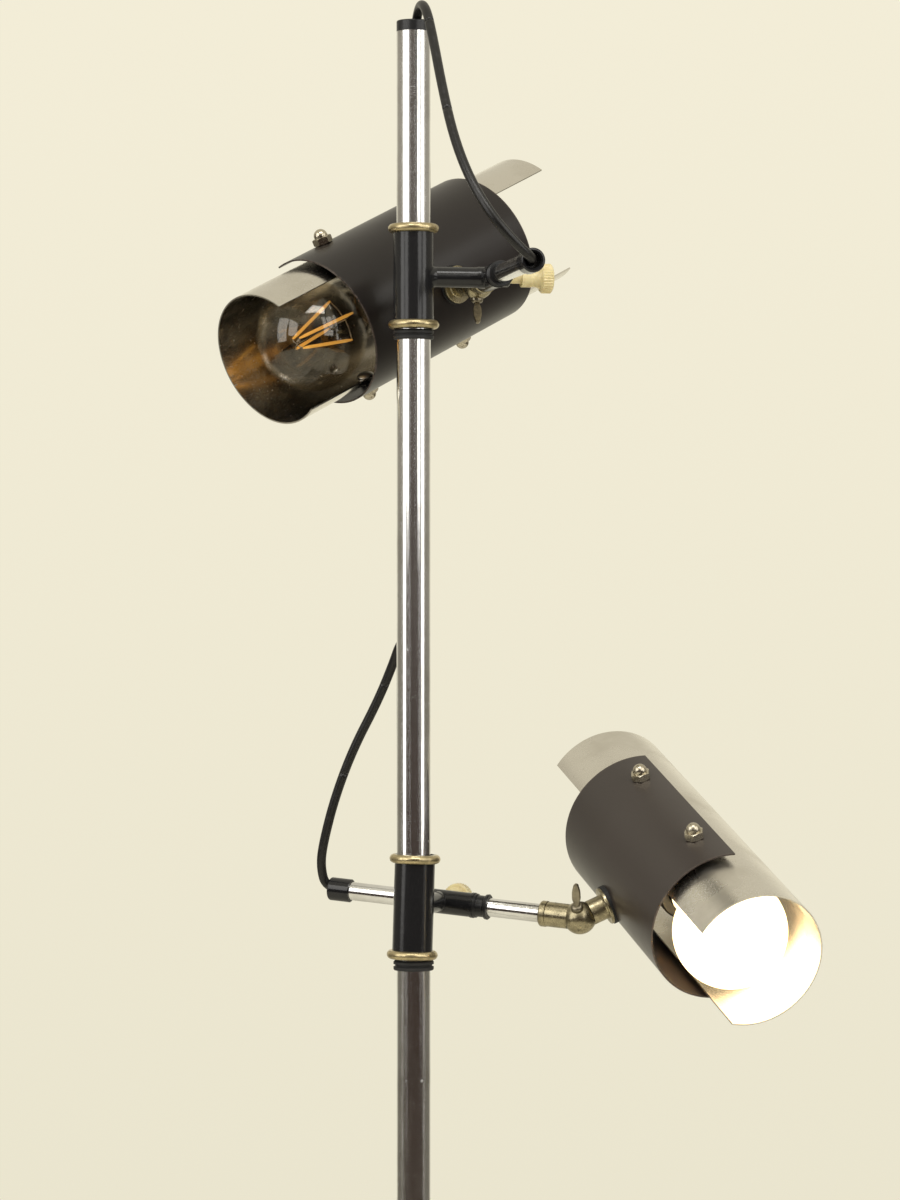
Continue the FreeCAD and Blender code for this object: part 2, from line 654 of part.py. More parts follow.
def knuckle_fixed_half():
    """Socket on the arm: rim collar, barrel and the half ball on the wing screw's side."""
    barrel = turned((0, -BARREL_START - RIM_LENGTH), (RIM_OD / 2 - 0.5, -BARREL_START - RIM_LENGTH),
                    (RIM_OD / 2, -BARREL_START - RIM_LENGTH + 0.7), (RIM_OD / 2, -BARREL_START - 0.4),
                    (RIM_OD / 2 - 0.6, -BARREL_START), (BARREL_OD / 2, -BARREL_START), (BARREL_OD / 2, 0),
                    (0, 0))
    barrel = barrel.cut(Part.makeSphere(BALL_CAVITY / 2)).cut(clear_half(-1))
    body = barrel.fuse(ball_half(1))
    body = body.cut(rod(ARM_R, -BARREL_START - RIM_LENGTH - 1, -TUBE_SEAT))
    body = body.cut(rod(WIRE_BORE / 2, -TUBE_SEAT - 1, 0))
    side_hole = on_axis(rod(1.3, BARREL_OD / 2 - 1.0, BARREL_OD / 2 + 1), Vector(0.75, 0.66, 0).normalize(),
                        Vector(0, 0, -BARREL_START + 4.5))
    screw_hole = on_axis(rod(HINGE_SCREW / 2 + HOLE_GAP, 0, BALL_OD), Vector(0, 1, 0))
    seat = on_axis(rod(HUB_OD / 2 + 0.4, HUB_SEAT, BALL_OD), Vector(0, 1, 0))
    return body.cut(side_hole).cut(screw_hole).cut(seat)


def knuckle_moving_half():
    """Half ball, neck, flange and threaded nipple in one turned piece."""
    flange_end = KNUCKLE_REACH - SADDLE_THICK
    flange_start = flange_end - FLANGE_THICK
    nipple_end = KNUCKLE_REACH + BLACK_R - PANEL_NUT_BOTTOM + 1.2
    neck = turned((0, 0), (NECK_OD / 2, 0), (NECK_OD / 2, flange_start - 0.6),
                  (NECK_OD / 2 + 0.5, flange_start),
                  (FLANGE_OD / 2 - 0.3, flange_start), (FLANGE_OD / 2, flange_start + 0.4),
                  (FLANGE_OD / 2, flange_end), (NIPPLE_OD / 2, flange_end), (NIPPLE_OD / 2, nipple_end - 0.6),
                  (NIPPLE_OD / 2 - 0.6, nipple_end), (0, nipple_end))
    neck = neck.cut(Part.makeSphere(BALL_CAVITY / 2)).cut(clear_half(1))
    body = neck.fuse(ball_half(-1))
    body = body.cut(rod(WIRE_BORE / 2, 0, nipple_end + 1))
    screw_hole = on_axis(rod(HINGE_SCREW / 2 + RUN, -BALL_OD, 0), Vector(0, 1, 0))
    return body.cut(screw_hole)


def wing_screw(setting):
    """Hinge screw with a hub and one horn-shaped wing, bent away from its axis."""
    hub_r = HUB_OD / 2
    screw_r = HINGE_SCREW / 2
    top = HUB_SEAT + SEAT_GAP + HUB_HEIGHT
    start = HUB_SEAT + SEAT_GAP
    shank_end = -(BALL_OD / 2 - 1.2)
    screw = turned((0, shank_end), (screw_r - 0.4, shank_end), (screw_r, shank_end + 0.4), (screw_r, start),
                   (hub_r, start), (hub_r, start + 1.2), ((hub_r - 0.5, top - 0.4), (screw_r, top)), (0, top))
    half = WING_WIDTH / 2
    root = 1.4
    foot = -1.6
    length = WING_LENGTH
    side = [(root, foot), (root, 1.5), ((0.93 * half, 0.24 * length), (half, 0.45 * length)),
            ((0.93 * half, 0.68 * length), (0.62 * half, 0.88 * length)),
            ((0, length), (-0.62 * half, 0.88 * length)),
            ((-0.93 * half, 0.68 * length), (-half, 0.45 * length)),
            ((-0.93 * half, 0.24 * length), (-root, 1.5)), (-root, foot)]
    leaf = at(outline(*side).extrude(Vector(0, WING_THICK, 0)), turn(Vector(0, 0, 1), 90))
    leaf.translate(Vector(WING_THICK / 2, 0, 0))
    bent = turn(Vector(0, 1, 0), WING_BEND)
    leaf = at(leaf, shift(0, 0, top).multiply(bent))
    piece = screw.fuse(leaf)
    return at(on_axis(piece, Vector(0, 1, 0)), turn(Vector(0, 1, 0), setting.wing_turn))


def saddle_washer(frames):
    """Dark washer between the knuckle's flange and the curved shell."""
    start = KNUCKLE_REACH - SADDLE_THICK
    disc = tube(SADDLE_OD / 2, NIPPLE_OD / 2, start, start + SADDLE_BLANK)
    shell = at(rod(BLACK_R, -BLACK_REAR, BLACK_FRONT), frames.shade)
    return at(disc, frames.head).cut(shell)


# ---------------------------------------------------------------- shade
def screw_places():
    """The shade's four screw places: angle round the shade and distance along it."""
    half = SCREW_SPACING / 2
    stations = (NUT_MIDDLE - half, NUT_MIDDLE + half)
    return [(angle, along) for angle in (-SCREW_ANGLE, SCREW_ANGLE) for along in stations]


def radial(shape, angle, along):
    """Stands a shape made on the Z axis on a radius of the shade."""
    direction = Vector(math.cos(math.radians(angle)), math.sin(math.radians(angle)), 0)
    return on_axis(shape, direction, Vector(0, 0, along))


def black_shell():
    """Outer shell of painted sheet, round the knuckle's side."""
    shell = curved_sheet(BLACK_R, -BLACK_REAR, BLACK_FRONT, 0, BLACK_HALF_ANGLE)
    shell = shell.cut(on_axis(rod(NIPPLE_OD / 2 + RUN, BLACK_R - 5, BLACK_R + 5), Vector(1, 0, 0)))
    for angle, along in screw_places():
        shell = shell.cut(radial(rod(SCREW_OD / 2 + HOLE_GAP, BLACK_R - 4, BLACK_R + 4), angle, along))
    return shell


def chrome_reflector():
    """Longer inner shell, open towards the knuckle, that shields and mirrors the bulb."""
    shell = curved_sheet(CHROME_R, -CHROME_REAR, CHROME_FRONT, 180, CHROME_HALF_ANGLE)
    for angle, along in screw_places():
        shell = shell.cut(radial(rod(SCREW_OD / 2 + HOLE_GAP, CHROME_R - 4, CHROME_R + 4), angle, along))
    return shell


def spacers():
    """Tubes that hold the two shells apart at the screws."""
    outer = math.sqrt((BLACK_R - SHEET) ** 2 - (SPACER_OD / 2) ** 2) - 0.02
    piece = tube(SPACER_OD / 2, SCREW_OD / 2 + HOLE_GAP, CHROME_R + 0.02, outer)
    return Part.makeCompound([radial(piece, angle, along) for angle, along in screw_places()])


def shell_screws():
    """Round-headed screws from inside the reflector."""
    seat = math.sqrt((CHROME_R - SHEET) ** 2 - (PAN_OD / 2) ** 2) - 0.02
    end = BLACK_R + DOME_NUT_HEX
    head_r = PAN_OD / 2
    screw = turned((0, seat - PAN_HEIGHT), ((head_r * 0.6, seat - PAN_HEIGHT * 0.86), (head_r, seat - 0.6)),
                   (head_r, seat), (SCREW_OD / 2, seat), (SCREW_OD / 2, end), (0, end))
    return Part.makeCompound([radial(screw, angle, along) for angle, along in screw_places()])


def dome_nuts():
    """Domed cap nuts on the black shell."""
    base = BLACK_R + 0.02
    hex_top = base + DOME_NUT_HEX
    dome = DOME_NUT_DOME / 2
    body = chamfered_hexagon(DOME_NUT_AF, base, hex_top, top=True, bottom=True)
    cap = turned((0, hex_top - 0.5), (dome, hex_top - 0.5), (dome, hex_top + 0.6),
                 ((dome * math.sqrt(0.5), hex_top + 0.6 + dome * math.sqrt(0.5)), (0, hex_top + 0.6 + dome)))
    nut = body.fuse(cap).cut(rod(SCREW_OD / 2, base - 1, BLACK_R + DOME_NUT_HEX + 0.3))
    return Part.makeCompound([radial(nut, angle, along) for angle, along in screw_places()])


def panel_nut():
    """Thin nut on the nipple, inside the shell."""
    nut = chamfered_hexagon(PANEL_NUT_AF, PANEL_NUT_BOTTOM, STRIP_BOTTOM, top=False, bottom=True)
    return on_axis(nut.cut(rod(NIPPLE_OD / 2, 0, BLACK_R)), Vector(1, 0, 0))


def holder_bracket():
    """Strap from the nipple to the lamp holder's back, bent square."""
    outer_bend = BRACKET_BEND + BRACKET_THICK
    rear = -BRACKET_REAR
    lower_end = -BRACKET_WIDTH / 2
    sink = 1 - math.sqrt(0.5)
    strap = outline((STRIP_TOP, BRACKET_FRONT), (STRIP_TOP, rear + outer_bend),
                    ((STRIP_TOP - sink * outer_bend, rear + sink * outer_bend), (STRIP_TOP - outer_bend, rear)),
                    (lower_end, rear), (lower_end, rear + BRACKET_THICK),
                    (STRIP_TOP - outer_bend, rear + BRACKET_THICK),
                    ((STRIP_BOTTOM - sink * BRACKET_BEND, rear + BRACKET_THICK + sink * BRACKET_BEND),
                     (STRIP_BOTTOM, rear + outer_bend)), (STRIP_BOTTOM, BRACKET_FRONT))
    width = BRACKET_WIDTH
    solid = strap.extrude(Vector(0, width, 0))
    solid.translate(Vector(0, -width / 2, 0))
    nipple_hole = on_axis(rod(NIPPLE_OD / 2 + HOLE_GAP, 30, BLACK_R), Vector(1, 0, 0))
    stem_hole = rod(HOLDER_STEM_OD / 2, rear - 1, rear + BRACKET_THICK + 1)
    return solid.cut(nipple_hole).cut(stem_hole)


def lamp_holder():
    """Moulded screw holder: stem, domed back, stepped skirt and a cavity for the bulb's cap."""
    back = -BRACKET_REAR + BRACKET_THICK
    stem = HOLDER_STEM_OD / 2
    outer = HOLDER_OD / 2
    cavity = SCREW_SHELL_OD / 2 + SHELL_GAP
    stem_end = -BRACKET_REAR - HOLDER_STEM
    floor = CONTACT
    shoulder = back + HOLDER_DOME
    body = turned((WIRE_BORE / 2 * 0.8, stem_end), (stem, stem_end), (stem, back), (stem + 4, back),
                  ((outer - 5.0, back + 3.4), (outer - 1.5, shoulder)), (outer, shoulder),
                  (outer, shoulder + 12), (outer - 1.2, shoulder + 12.6), (outer - 1.2, HOLDER_FRONT - 1),
                  (outer - 2.2, HOLDER_FRONT),
                  (cavity, HOLDER_FRONT), (cavity, floor), (WIRE_BORE / 2 * 0.8, floor))
    return body


def bulb_cap():
    """Screw cap of the bulb with its contact."""
    outer = SCREW_SHELL_OD / 2
    inner = outer - THREAD_DEPTH
    steps = []
    start = CONTACT + 6.0
    count = int((BULB_CAP_FRONT - 5.0 - start) / THREAD_PITCH)
    for i in range(count):
        z = start + i * THREAD_PITCH
        steps.append(((outer, z + THREAD_PITCH / 2), (inner, z + THREAD_PITCH)))
    last = start + count * THREAD_PITCH
    rim = NECK_GLASS_OD / 2
    hollow = inner - CAP_WALL
    return turned((0, CONTACT + SEAT_GAP), (4.4, CONTACT + SEAT_GAP), (4.9, CONTACT + 1.6), (6.5, CONTACT + 2.2),
                  (10.6, CONTACT + 5.2), (inner, start), *steps, (inner, last + 0.6),
                  (rim - GLASS_WALL, BULB_CAP_FRONT - 1.6), (rim, BULB_CAP_FRONT), (rim - 1.0, BULB_CAP_FRONT),
                  (hollow, BULB_CAP_FRONT - 2.5), (hollow, start + 1.5), (0, start + 1.5))


def bulb_profile(wall):
    """Half outline of the globe, drawn in by a wall: tip, waist and neck."""
    radius = GLOBE_OD / 2 - wall
    waist = math.radians(-38)
    waist_r = radius * math.cos(waist)
    waist_z = GLOBE_CENTRE + radius * math.sin(waist)
    neck = NECK_GLASS_OD / 2 - 0.3 - wall
    return radius, waist_r, waist_z, neck


def bulb_glass():
    """Clear globe, hollow, seated in its cap."""
    start = BULB_CAP_FRONT + 0.05
    radius, waist_r, waist_z, neck = bulb_profile(0)
    inner_radius, inner_waist_r, inner_waist_z, inner_neck = bulb_profile(GLASS_WALL)
    side = math.radians(25)
    middle_z = (waist_z + start + 3) / 2 + 1.5
    outside = [(neck, start + 3), ((neck + 0.33 * (waist_r - neck), middle_z), (waist_r, waist_z)),
               ((radius * math.cos(side), GLOBE_CENTRE + radius * math.sin(side)), (0, GLOBE_CENTRE + radius))]
    inside = [((inner_radius * math.cos(side), GLOBE_CENTRE + inner_radius * math.sin(side)),
               (inner_waist_r, inner_waist_z)),
              ((inner_neck + 0.33 * (inner_waist_r - inner_neck), middle_z), (inner_neck, start + 3)),
              (inner_neck, start)]
    return turned((neck, start), *outside, (0, GLOBE_CENTRE + inner_radius), *inside)


def polar(radius, angle, z):
    """A point from its radius, its angle in radians and its height."""
    return Vector(radius * math.cos(angle), radius * math.sin(angle), z)


def filament_mount():
    """Glass stem with its wires, and the filament sticks that they carry, inside the globe."""
    stem_r = STEM_OD / 2
    foot = BULB_CAP_FRONT + 0.05
    foot_r = NECK_GLASS_OD / 2 - 0.3 - GLASS_WALL - 0.05
    stem = turned((0, foot), (foot_r, foot), (foot_r - 0.6, foot + 1.2), (stem_r + 1.2, foot + 7),
                  (stem_r, foot + 14), (stem_r, STEM_TOP), (stem_r * 0.5, STEM_TOP + 2.5), (0, STEM_TOP + 2.5))
    post = rod(WIRE_OD / 2, STEM_TOP, FILAMENT_FRONT)
    carrier = stem.fuse(post)
    sticks = []
    for i in range(FILAMENTS):
        turn_by = 2 * math.pi * i / FILAMENTS + FILAMENT_START
        low = polar(FILAMENT_REAR_RADIUS, turn_by, FILAMENT_REAR)
        high = polar(FILAMENT_FRONT_RADIUS, turn_by + FILAMENT_TWIST, FILAMENT_FRONT)
        sticks.append(Part.makeCylinder(FILAMENT_OD / 2, (high - low).Length, low, high - low))
        for end in (low, high):
            centre = Vector(0, 0, end.z)
            spoke = end - centre
            carrier = carrier.fuse(Part.makeCylinder(WIRE_OD / 2, spoke.Length, centre, spoke))
    carrier = carrier.cut(Part.makeCompound(sticks))
    return Part.makeCompound([max(carrier.Solids, key=lambda solid: solid.Volume)] + sticks)


def inner_lead_points():
    """Route of the lead from the nipple round the bracket's leg to the holder's stem."""
    start_r = PANEL_NUT_BOTTOM - 1.2
    stem_end = -BRACKET_REAR - HOLDER_STEM
    return [(start_r, 0, 0), (start_r - 8, 0, 0), (start_r - 9.5, 8, -10), (start_r - 9.5, 14, -24),
            (start_r - 9, 15, -38), (start_r - 14, 12, stem_end - 9), (start_r - 25, 5, stem_end - 14),
            (0, 0, stem_end - 11), (0, 0, stem_end)]


# ---------------------------------------------------------------- assembly
def cord_pieces(setting, frames, route, splits, standoff):
    """The free cord in three pieces, divided half way along two of its runs."""
    mouth_z = frames.mouth
    corner = frames.arm.multVec(Vector(0, 0, mouth_z - standoff))
    seat = frames.arm.multVec(Vector(0, 0, mouth_z + END_CAP_WEB_DEPTH))
    points = [route_point(p) for p in route] + [corner, seat]
    pieces = []
    part = []
    for i, point in enumerate(points):
        part.append(point)
        if i in splits:
            middle = (point + points[i + 1]) * 0.5
            pieces.append(part + [middle])
            part = [middle]
    pieces.append(part)
    names = ("top", "middle", "end")
    return {"%s_cord_%s" % (setting.name, name): cord_tube(piece, CORD_R, setting.name + " cord, " + name)
            for name, piece in zip(names, pieces)}


def head_nodes(setting, route, splits, standoff):
    """Every node of one head, placed in the lamp's frame."""
    frames = HeadFrames(setting)
    mouth = frames.mouth
    lead = cord_tube(inner_lead_points(), INNER_LEAD_OD / 2, setting.name + " inner lead")
    parts = {
        "stop_ring": at(stop_ring(setting), frames.ring),
        "slider_body": slider_casting(setting, frames),
        "slider_rings": at(slider_rings(), frames.slider),
        "arm_bush": at(arm_bush(), frames.cross),
        "thumbscrew": at(thumbscrew(), frames.cross),
        "arm_end_cap": at(arm_end_cap(mouth), frames.arm),
        "arm_tube": at(arm_tube(mouth, setting.reach), frames.arm),
        "knuckle_fixed_half": at(knuckle_fixed_half(), frames.ball),
        "knuckle_moving_half": at(knuckle_moving_half(), frames.head),
        "wing_screw": at(wing_screw(setting), frames.ball),
        "saddle_washer": saddle_washer(frames),
        "panel_nut": at(panel_nut(), frames.shade),
        "holder_bracket": at(holder_bracket(), frames.shade),
        "lamp_holder": at(lamp_holder(), frames.shade),
        "black_shell": at(black_shell(), frames.shade),
        "chrome_reflector": at(chrome_reflector(), frames.shade),
        "spacers": at(spacers(), frames.shade),
        "shell_screws": at(shell_screws(), frames.shade),
        "dome_nuts": at(dome_nuts(), frames.shade),
        "bulb_cap": at(bulb_cap(), frames.shade),
        "bulb_glass": at(bulb_glass(), frames.shade),
        "bulb_filaments": at(filament_mount(), frames.shade),
        "inner_lead": at(lead, frames.shade),
    }
    nodes = {"%s_%s" % (setting.name, name): shape for name, shape in parts.items()}
    nodes.update(cord_pieces(setting, frames, route, splits, standoff))
    return nodes


def build():
    """Every node of the lamp."""
    nodes = {
        "base_plate": base_plate(),
        "base_pad": base_pad(),
        "pole_socket": pole_socket(),
        "foot_nut": foot_nut(),
        "mains_inlet_grommet": mains_inlet_grommet(),
        "pole": pole(),
        "pole_cap": pole_cap(),
        "cord_grommet": cord_grommet(),
    }
    nodes.update(head_nodes(UPPER, UPPER_CORD_ROUTE, UPPER_CORD_SPLITS, UPPER_CORD_STANDOFF))
    nodes.update(head_nodes(LOWER, LOWER_CORD_ROUTE, LOWER_CORD_SPLITS, LOWER_CORD_STANDOFF))
    return nodes


def main():
    """Writes one STEP file per node and says what is in each."""
    os.makedirs("parts", exist_ok=True)
    nodes = build()
    for name, shape in nodes.items():
        solids = shape.Solids
        print("%-28s solids %2d volume %10.1f valid %s" % (name, len(solids), shape.Volume, shape.isValid()))
        shape.exportStep("parts/%s.step" % name)
    print("%d nodes" % len(nodes))


if __name__ == "__main__":
    main()
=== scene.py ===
"""Looks of a chrome pole lamp with two adjustable spot heads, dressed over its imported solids."""
import logging
import math
from dataclasses import dataclass, field
from enum import Enum
from typing import Any, Sequence

import bmesh
import bpy
from mathutils import Matrix, Vector


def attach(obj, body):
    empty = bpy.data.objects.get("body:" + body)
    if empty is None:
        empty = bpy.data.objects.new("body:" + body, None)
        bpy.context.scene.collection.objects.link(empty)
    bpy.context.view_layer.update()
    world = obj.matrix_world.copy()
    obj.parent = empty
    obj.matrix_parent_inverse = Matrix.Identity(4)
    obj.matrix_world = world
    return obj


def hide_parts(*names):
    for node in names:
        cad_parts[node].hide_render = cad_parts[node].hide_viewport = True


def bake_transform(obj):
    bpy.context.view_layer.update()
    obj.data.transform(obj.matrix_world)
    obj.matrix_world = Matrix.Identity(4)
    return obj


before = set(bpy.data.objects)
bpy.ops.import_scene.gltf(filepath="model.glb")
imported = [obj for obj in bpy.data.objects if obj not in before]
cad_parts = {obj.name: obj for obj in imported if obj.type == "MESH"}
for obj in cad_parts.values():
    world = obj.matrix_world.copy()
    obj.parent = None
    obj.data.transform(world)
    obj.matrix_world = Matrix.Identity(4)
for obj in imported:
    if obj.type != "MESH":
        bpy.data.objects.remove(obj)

LOG = logging.getLogger("pole_lamp")
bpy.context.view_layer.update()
MM = 0.001
POLE_TOP = 1400.0
HARD_EDGE = math.radians(32)
Colour = tuple[float, float, float]
Point = tuple[float, float, float]
Pair = tuple[float, float]
Material = bpy.types.Material
Piece = bpy.types.Object


class Expr:
    """A shader socket that Python's operators can be used on.

    Args:
        shader: the node tree that new nodes go into.
        socket: the output socket, or the node itself if it has none.
        vector: whether the value is a vector or colour.
    """

    def __init__(self, shader: "Shader", socket: Any, vector: bool = False) -> None:
        self.shader = shader
        self.socket = socket
        self.vector = vector

    def _math(self, operation: str, first: Any, second: Any = None) -> "Expr":
        """Adds one Math or Vector Math node.

        Args:
            operation: the node's operation.
            first: left value.
            second: right value, if it has one.

        Returns:
            The node's result.
        """
        is_vector = any(isinstance(value, Expr) and value.vector for value in (first, second))
        kind = "ShaderNodeVectorMath" if is_vector else "ShaderNodeMath"
        values = {0: first} if second is None else {0: first, 1: second}
        return self.shader.node(kind, {"operation": operation}, values, vector=is_vector)

    def __add__(self, other: Any) -> "Expr":
        """Sum."""
        return self._math("ADD", self, other)

    def __radd__(self, other: Any) -> "Expr":
        """Sum, reflected."""
        return self._math("ADD", other, self)

    def __sub__(self, other: Any) -> "Expr":
        """Difference."""
        return self._math("SUBTRACT", self, other)

    def __rsub__(self, other: Any) -> "Expr":
        """Difference, reflected."""
        return self._math("SUBTRACT", other, self)

    def __mul__(self, other: Any) -> "Expr":
        """Product."""
        return self._math("MULTIPLY", self, other)

    def __rmul__(self, other: Any) -> "Expr":
        """Product, reflected."""
        return self._math("MULTIPLY", other, self)

    def __pow__(self, other: Any) -> "Expr":
        """Power."""
        return self._math("POWER", self, other)

    def __abs__(self) -> "Expr":
        """Absolute value."""
        return self._math("ABSOLUTE", self)

    def largest(self, other: Any) -> "Expr":
        """The larger of two values."""
        return self._math("MAXIMUM", self, other)

    def dot(self, other: Point) -> "Expr":
        """Dot product with a fixed vector.

        Args:
            other: the fixed vector.

        Returns:
            A number.
        """
        settings = {"operation": "DOT_PRODUCT"}
        return self.shader.node("ShaderNodeVectorMath", settings, {0: self, 1: other}, output="Value")

    def ramp(self, low: float, high: float) -> "Expr":
        """Rises smoothly from 0 to 1 over a range.

        Args:
            low: where the result is 0.
            high: where the result is 1; it may be the smaller one.

        Returns:
            The mapped value.
        """
        settings = {"interpolation_type": "SMOOTHSTEP"}
        values = {"Value": self, "From Min": low, "From Max": high, "To Min": 0.0, "To Max": 1.0}
        return self.shader.node("ShaderNodeMapRange", settings, values)


@dataclass(frozen=True)
class Mottle:
    """Fractal noise, and where it is cut to a mask.

    Args:
        scale: features per metre.
        octaves: layers of ever smaller features.
        rough: strength of the smaller layers.
        low: noise level where the mask is 0.
        high: noise level where the mask is 1.
    """

    scale: float
    octaves: float
    rough: float
    low: float = 0.0
    high: float = 1.0


@dataclass(frozen=True)
class Hairlines:
    """Fine scratches, where stretched noise crosses its middle level.

    Args:
        scale: features per metre.
        width: how far from the middle level a scratch reaches.
        along: how far the noise is stretched on each axis.
    """

    scale: float
    width: float
    along: Point


@dataclass(frozen=True)
class Relief:
    """How deep a bump looks.

    Args:
        depth: its height in metres.
        share: how much of it shows.
    """

    depth: float
    share: float


@dataclass(frozen=True)
class Fade:
    """Two colours and the range in which one turns into the other.

    Args:
        low: where the first colour ends.
        high: where the second colour begins.
        first: colour below the range.
        second: colour above it.
    """

    low: float
    high: float
    first: Colour
    second: Colour


class Shader:
    """A node tree with short ways to add to it.

    Args:
        tree: the Blender node tree.
    """

    def __init__(self, tree: bpy.types.NodeTree) -> None:
        self.tree = tree

    def node(self, kind: str, settings: dict[str, Any] | None = None, values: dict[Any, Any] | None = None,
             output: Any = 0, vector: bool = False) -> Expr:
        """Adds any node.

        Args:
            kind: the node's type.
            settings: attributes, set first.
            values: numbers or links by socket name or number.
            output: name or number of the output that is returned.
            vector: whether that output is a vector or colour.

        Returns:
            The chosen output.
        """
        made = self.tree.nodes.new(kind)
        for name, value in (settings or {}).items():
            setattr(made, name, value)
        for name, value in (values or {}).items():
            self.feed(made.inputs[name], value)
        return Expr(self, made.outputs[output], vector) if len(made.outputs) else Expr(self, made)

    def feed(self, socket: bpy.types.NodeSocket, value: Any) -> None:
        """Links a socket or sets its value.

        Args:
            socket: the input socket.
            value: an Expr, a number, a vector or a colour.
        """
        if isinstance(value, Expr):
            self.tree.links.new(value.socket, socket)
        elif isinstance(value, (tuple, list)) and len(value) == 3 and len(socket.default_value) == 4:
            socket.default_value = (*value, 1.0)
        else:
            socket.default_value = value

    def place(self) -> Expr:
        """Position on the object, in metres."""
        return self.node("ShaderNodeTexCoord", output="Object", vector=True)

    def stretched(self, scale: Point) -> Expr:
        """Position, stretched along the axes."""
        values = {"Vector": self.place(), "Scale": scale}
        return self.node("ShaderNodeMapping", {"vector_type": "TEXTURE"}, values, vector=True)

    def noise(self, mottle: Mottle, at: Expr | None = None) -> Expr:
        """Fractal noise.

        Args:
            mottle: its scale and octaves.
            at: coordinate, or none for the position.

        Returns:
            Noise from 0 to 1.
        """
        values = {"Vector": at or self.place(), "Scale": mottle.scale, "Detail": mottle.octaves,
                  "Roughness": mottle.rough}
        return self.node("ShaderNodeTexNoise", None, values)

    def mask(self, mottle: Mottle) -> Expr:
        """Fractal noise, cut to a mask between its two levels."""
        return self.noise(mottle).ramp(mottle.low, mottle.high)

    def hairlines(self, lines: Hairlines) -> Expr:
        """Fine scratches from stretched noise.

        Args:
            lines: their scale, width and direction.

        Returns:
            A mask, 1 on a scratch.
        """
        grain = self.noise(Mottle(lines.scale, 2.0, 0.4), self.stretched(lines.along))
        return abs(grain - 0.5).ramp(lines.width, 0.0)

    def mix(self, factor: Any, first: Any, second: Any) -> Expr:
        """Mixes two colours.

        Args:
            factor: mask.
            first: colour at 0.
            second: colour at 1.

        Returns:
            The mixed colour.
        """
        made = self.tree.nodes.new("ShaderNodeMix")
        made.data_type = "RGBA"
        factor_socket, first_socket, second_socket, result = 0, 6, 7, 2
        self.feed(made.inputs[factor_socket], factor)
        self.feed(made.inputs[first_socket], first)
        self.feed(made.inputs[second_socket], second)
        return Expr(self, made.outputs[result], True)

    def fade(self, along: Expr, fade: Fade) -> Expr:
        """One colour turning into another along a value."""
        return self.mix(along.ramp(fade.low, fade.high), fade.first, fade.second)

    def bump(self, height: Expr, relief: Relief) -> Expr:
        """Bump from a height.

        Args:
            height: the height, 0 to 1.
            relief: how deep it looks.

        Returns:
            A normal.
        """
        values = {"Height": height, "Distance": relief.depth, "Strength": relief.share}
        return self.node("ShaderNodeBump", None, values, vector=True)


class Skin(Shader):
    """A material whose look is built from expressions.

    Args:
        name: the material's name.
    """

    def __init__(self, name: str) -> None:
        self.material = bpy.data.materials.new(name)
        self.material.use_nodes = True
        super().__init__(self.material.node_tree)
        self.tree.nodes.clear()

    def principled(self, **sockets: Any) -> Expr:
        """Adds a Principled shader.

        Args:
            sockets: values by socket name, with underscores for spaces.

        Returns:
            The shader's output.
        """
        values = {name.replace("_", " "): value for name, value in sockets.items()}
        return self.node("ShaderNodeBsdfPrincipled", None, values)

    def finish(self, surface: Expr) -> Material:
        """Ends the material in a shader.

        Args:
            surface: the shader's output.

        Returns:
            The material.
        """
        self.node("ShaderNodeOutputMaterial", None, {"Surface": surface})
        return self.material


@dataclass(frozen=True)
class Finish:
    """A finish of the lamp's pieces.

    Args:
        name: the material's name.
    """

    name: str

    def surface(self, skin: Skin) -> Expr:
        """Builds its shader.

        Args:
            skin: its material.

        Returns:
            The shader.
        """
        raise NotImplementedError

    def build(self) -> Material:
        """Builds the material."""
        skin = Skin(self.name)
        return skin.finish(self.surface(skin))


class Grain(Enum):
    """Which way a plated surface's hairlines run."""

    UPRIGHT = (0.02, 0.02, 1.0)
    EVEN = (1.0, 1.0, 1.0)


@dataclass(frozen=True)
class Plating(Finish):
    """Polished plating with hairlines, smears and small dull spots."""

    colour: Colour
    dull: Colour
    roughness: float
    smear_roughness: float
    grain: Grain = Grain.EVEN
    smears: Mottle = Mottle(28.0, 5.0, 0.6, 0.42, 0.75)
    spots: Mottle = Mottle(420.0, 3.0, 0.5, 0.66, 0.74)
    worn_share: float = 0.6
    spot_roughness: float = 0.2
    line_scale: float = 900.0
    line_width: float = 0.012
    line_roughness: float = 0.12
    smear_height: float = 0.2
    relief: Relief = Relief(0.00002, 0.5)

    def surface(self, skin: Skin) -> Expr:
        """Builds its shader.

        Args:
            skin: its material.

        Returns:
            The shader.
        """
        smears = skin.mask(self.smears)
        spots = skin.mask(self.spots)
        lines = skin.hairlines(Hairlines(self.line_scale, self.line_width, self.grain.value))
        marks = spots * self.spot_roughness + lines * self.line_roughness
        worn = smears.largest(spots) * self.worn_share
        return skin.principled(
            Base_Color=skin.mix(worn, self.colour, self.dull), Metallic=1.0,
            Roughness=smears * self.smear_roughness + marks + self.roughness,
            Normal=skin.bump(lines + smears * self.smear_height, self.relief))


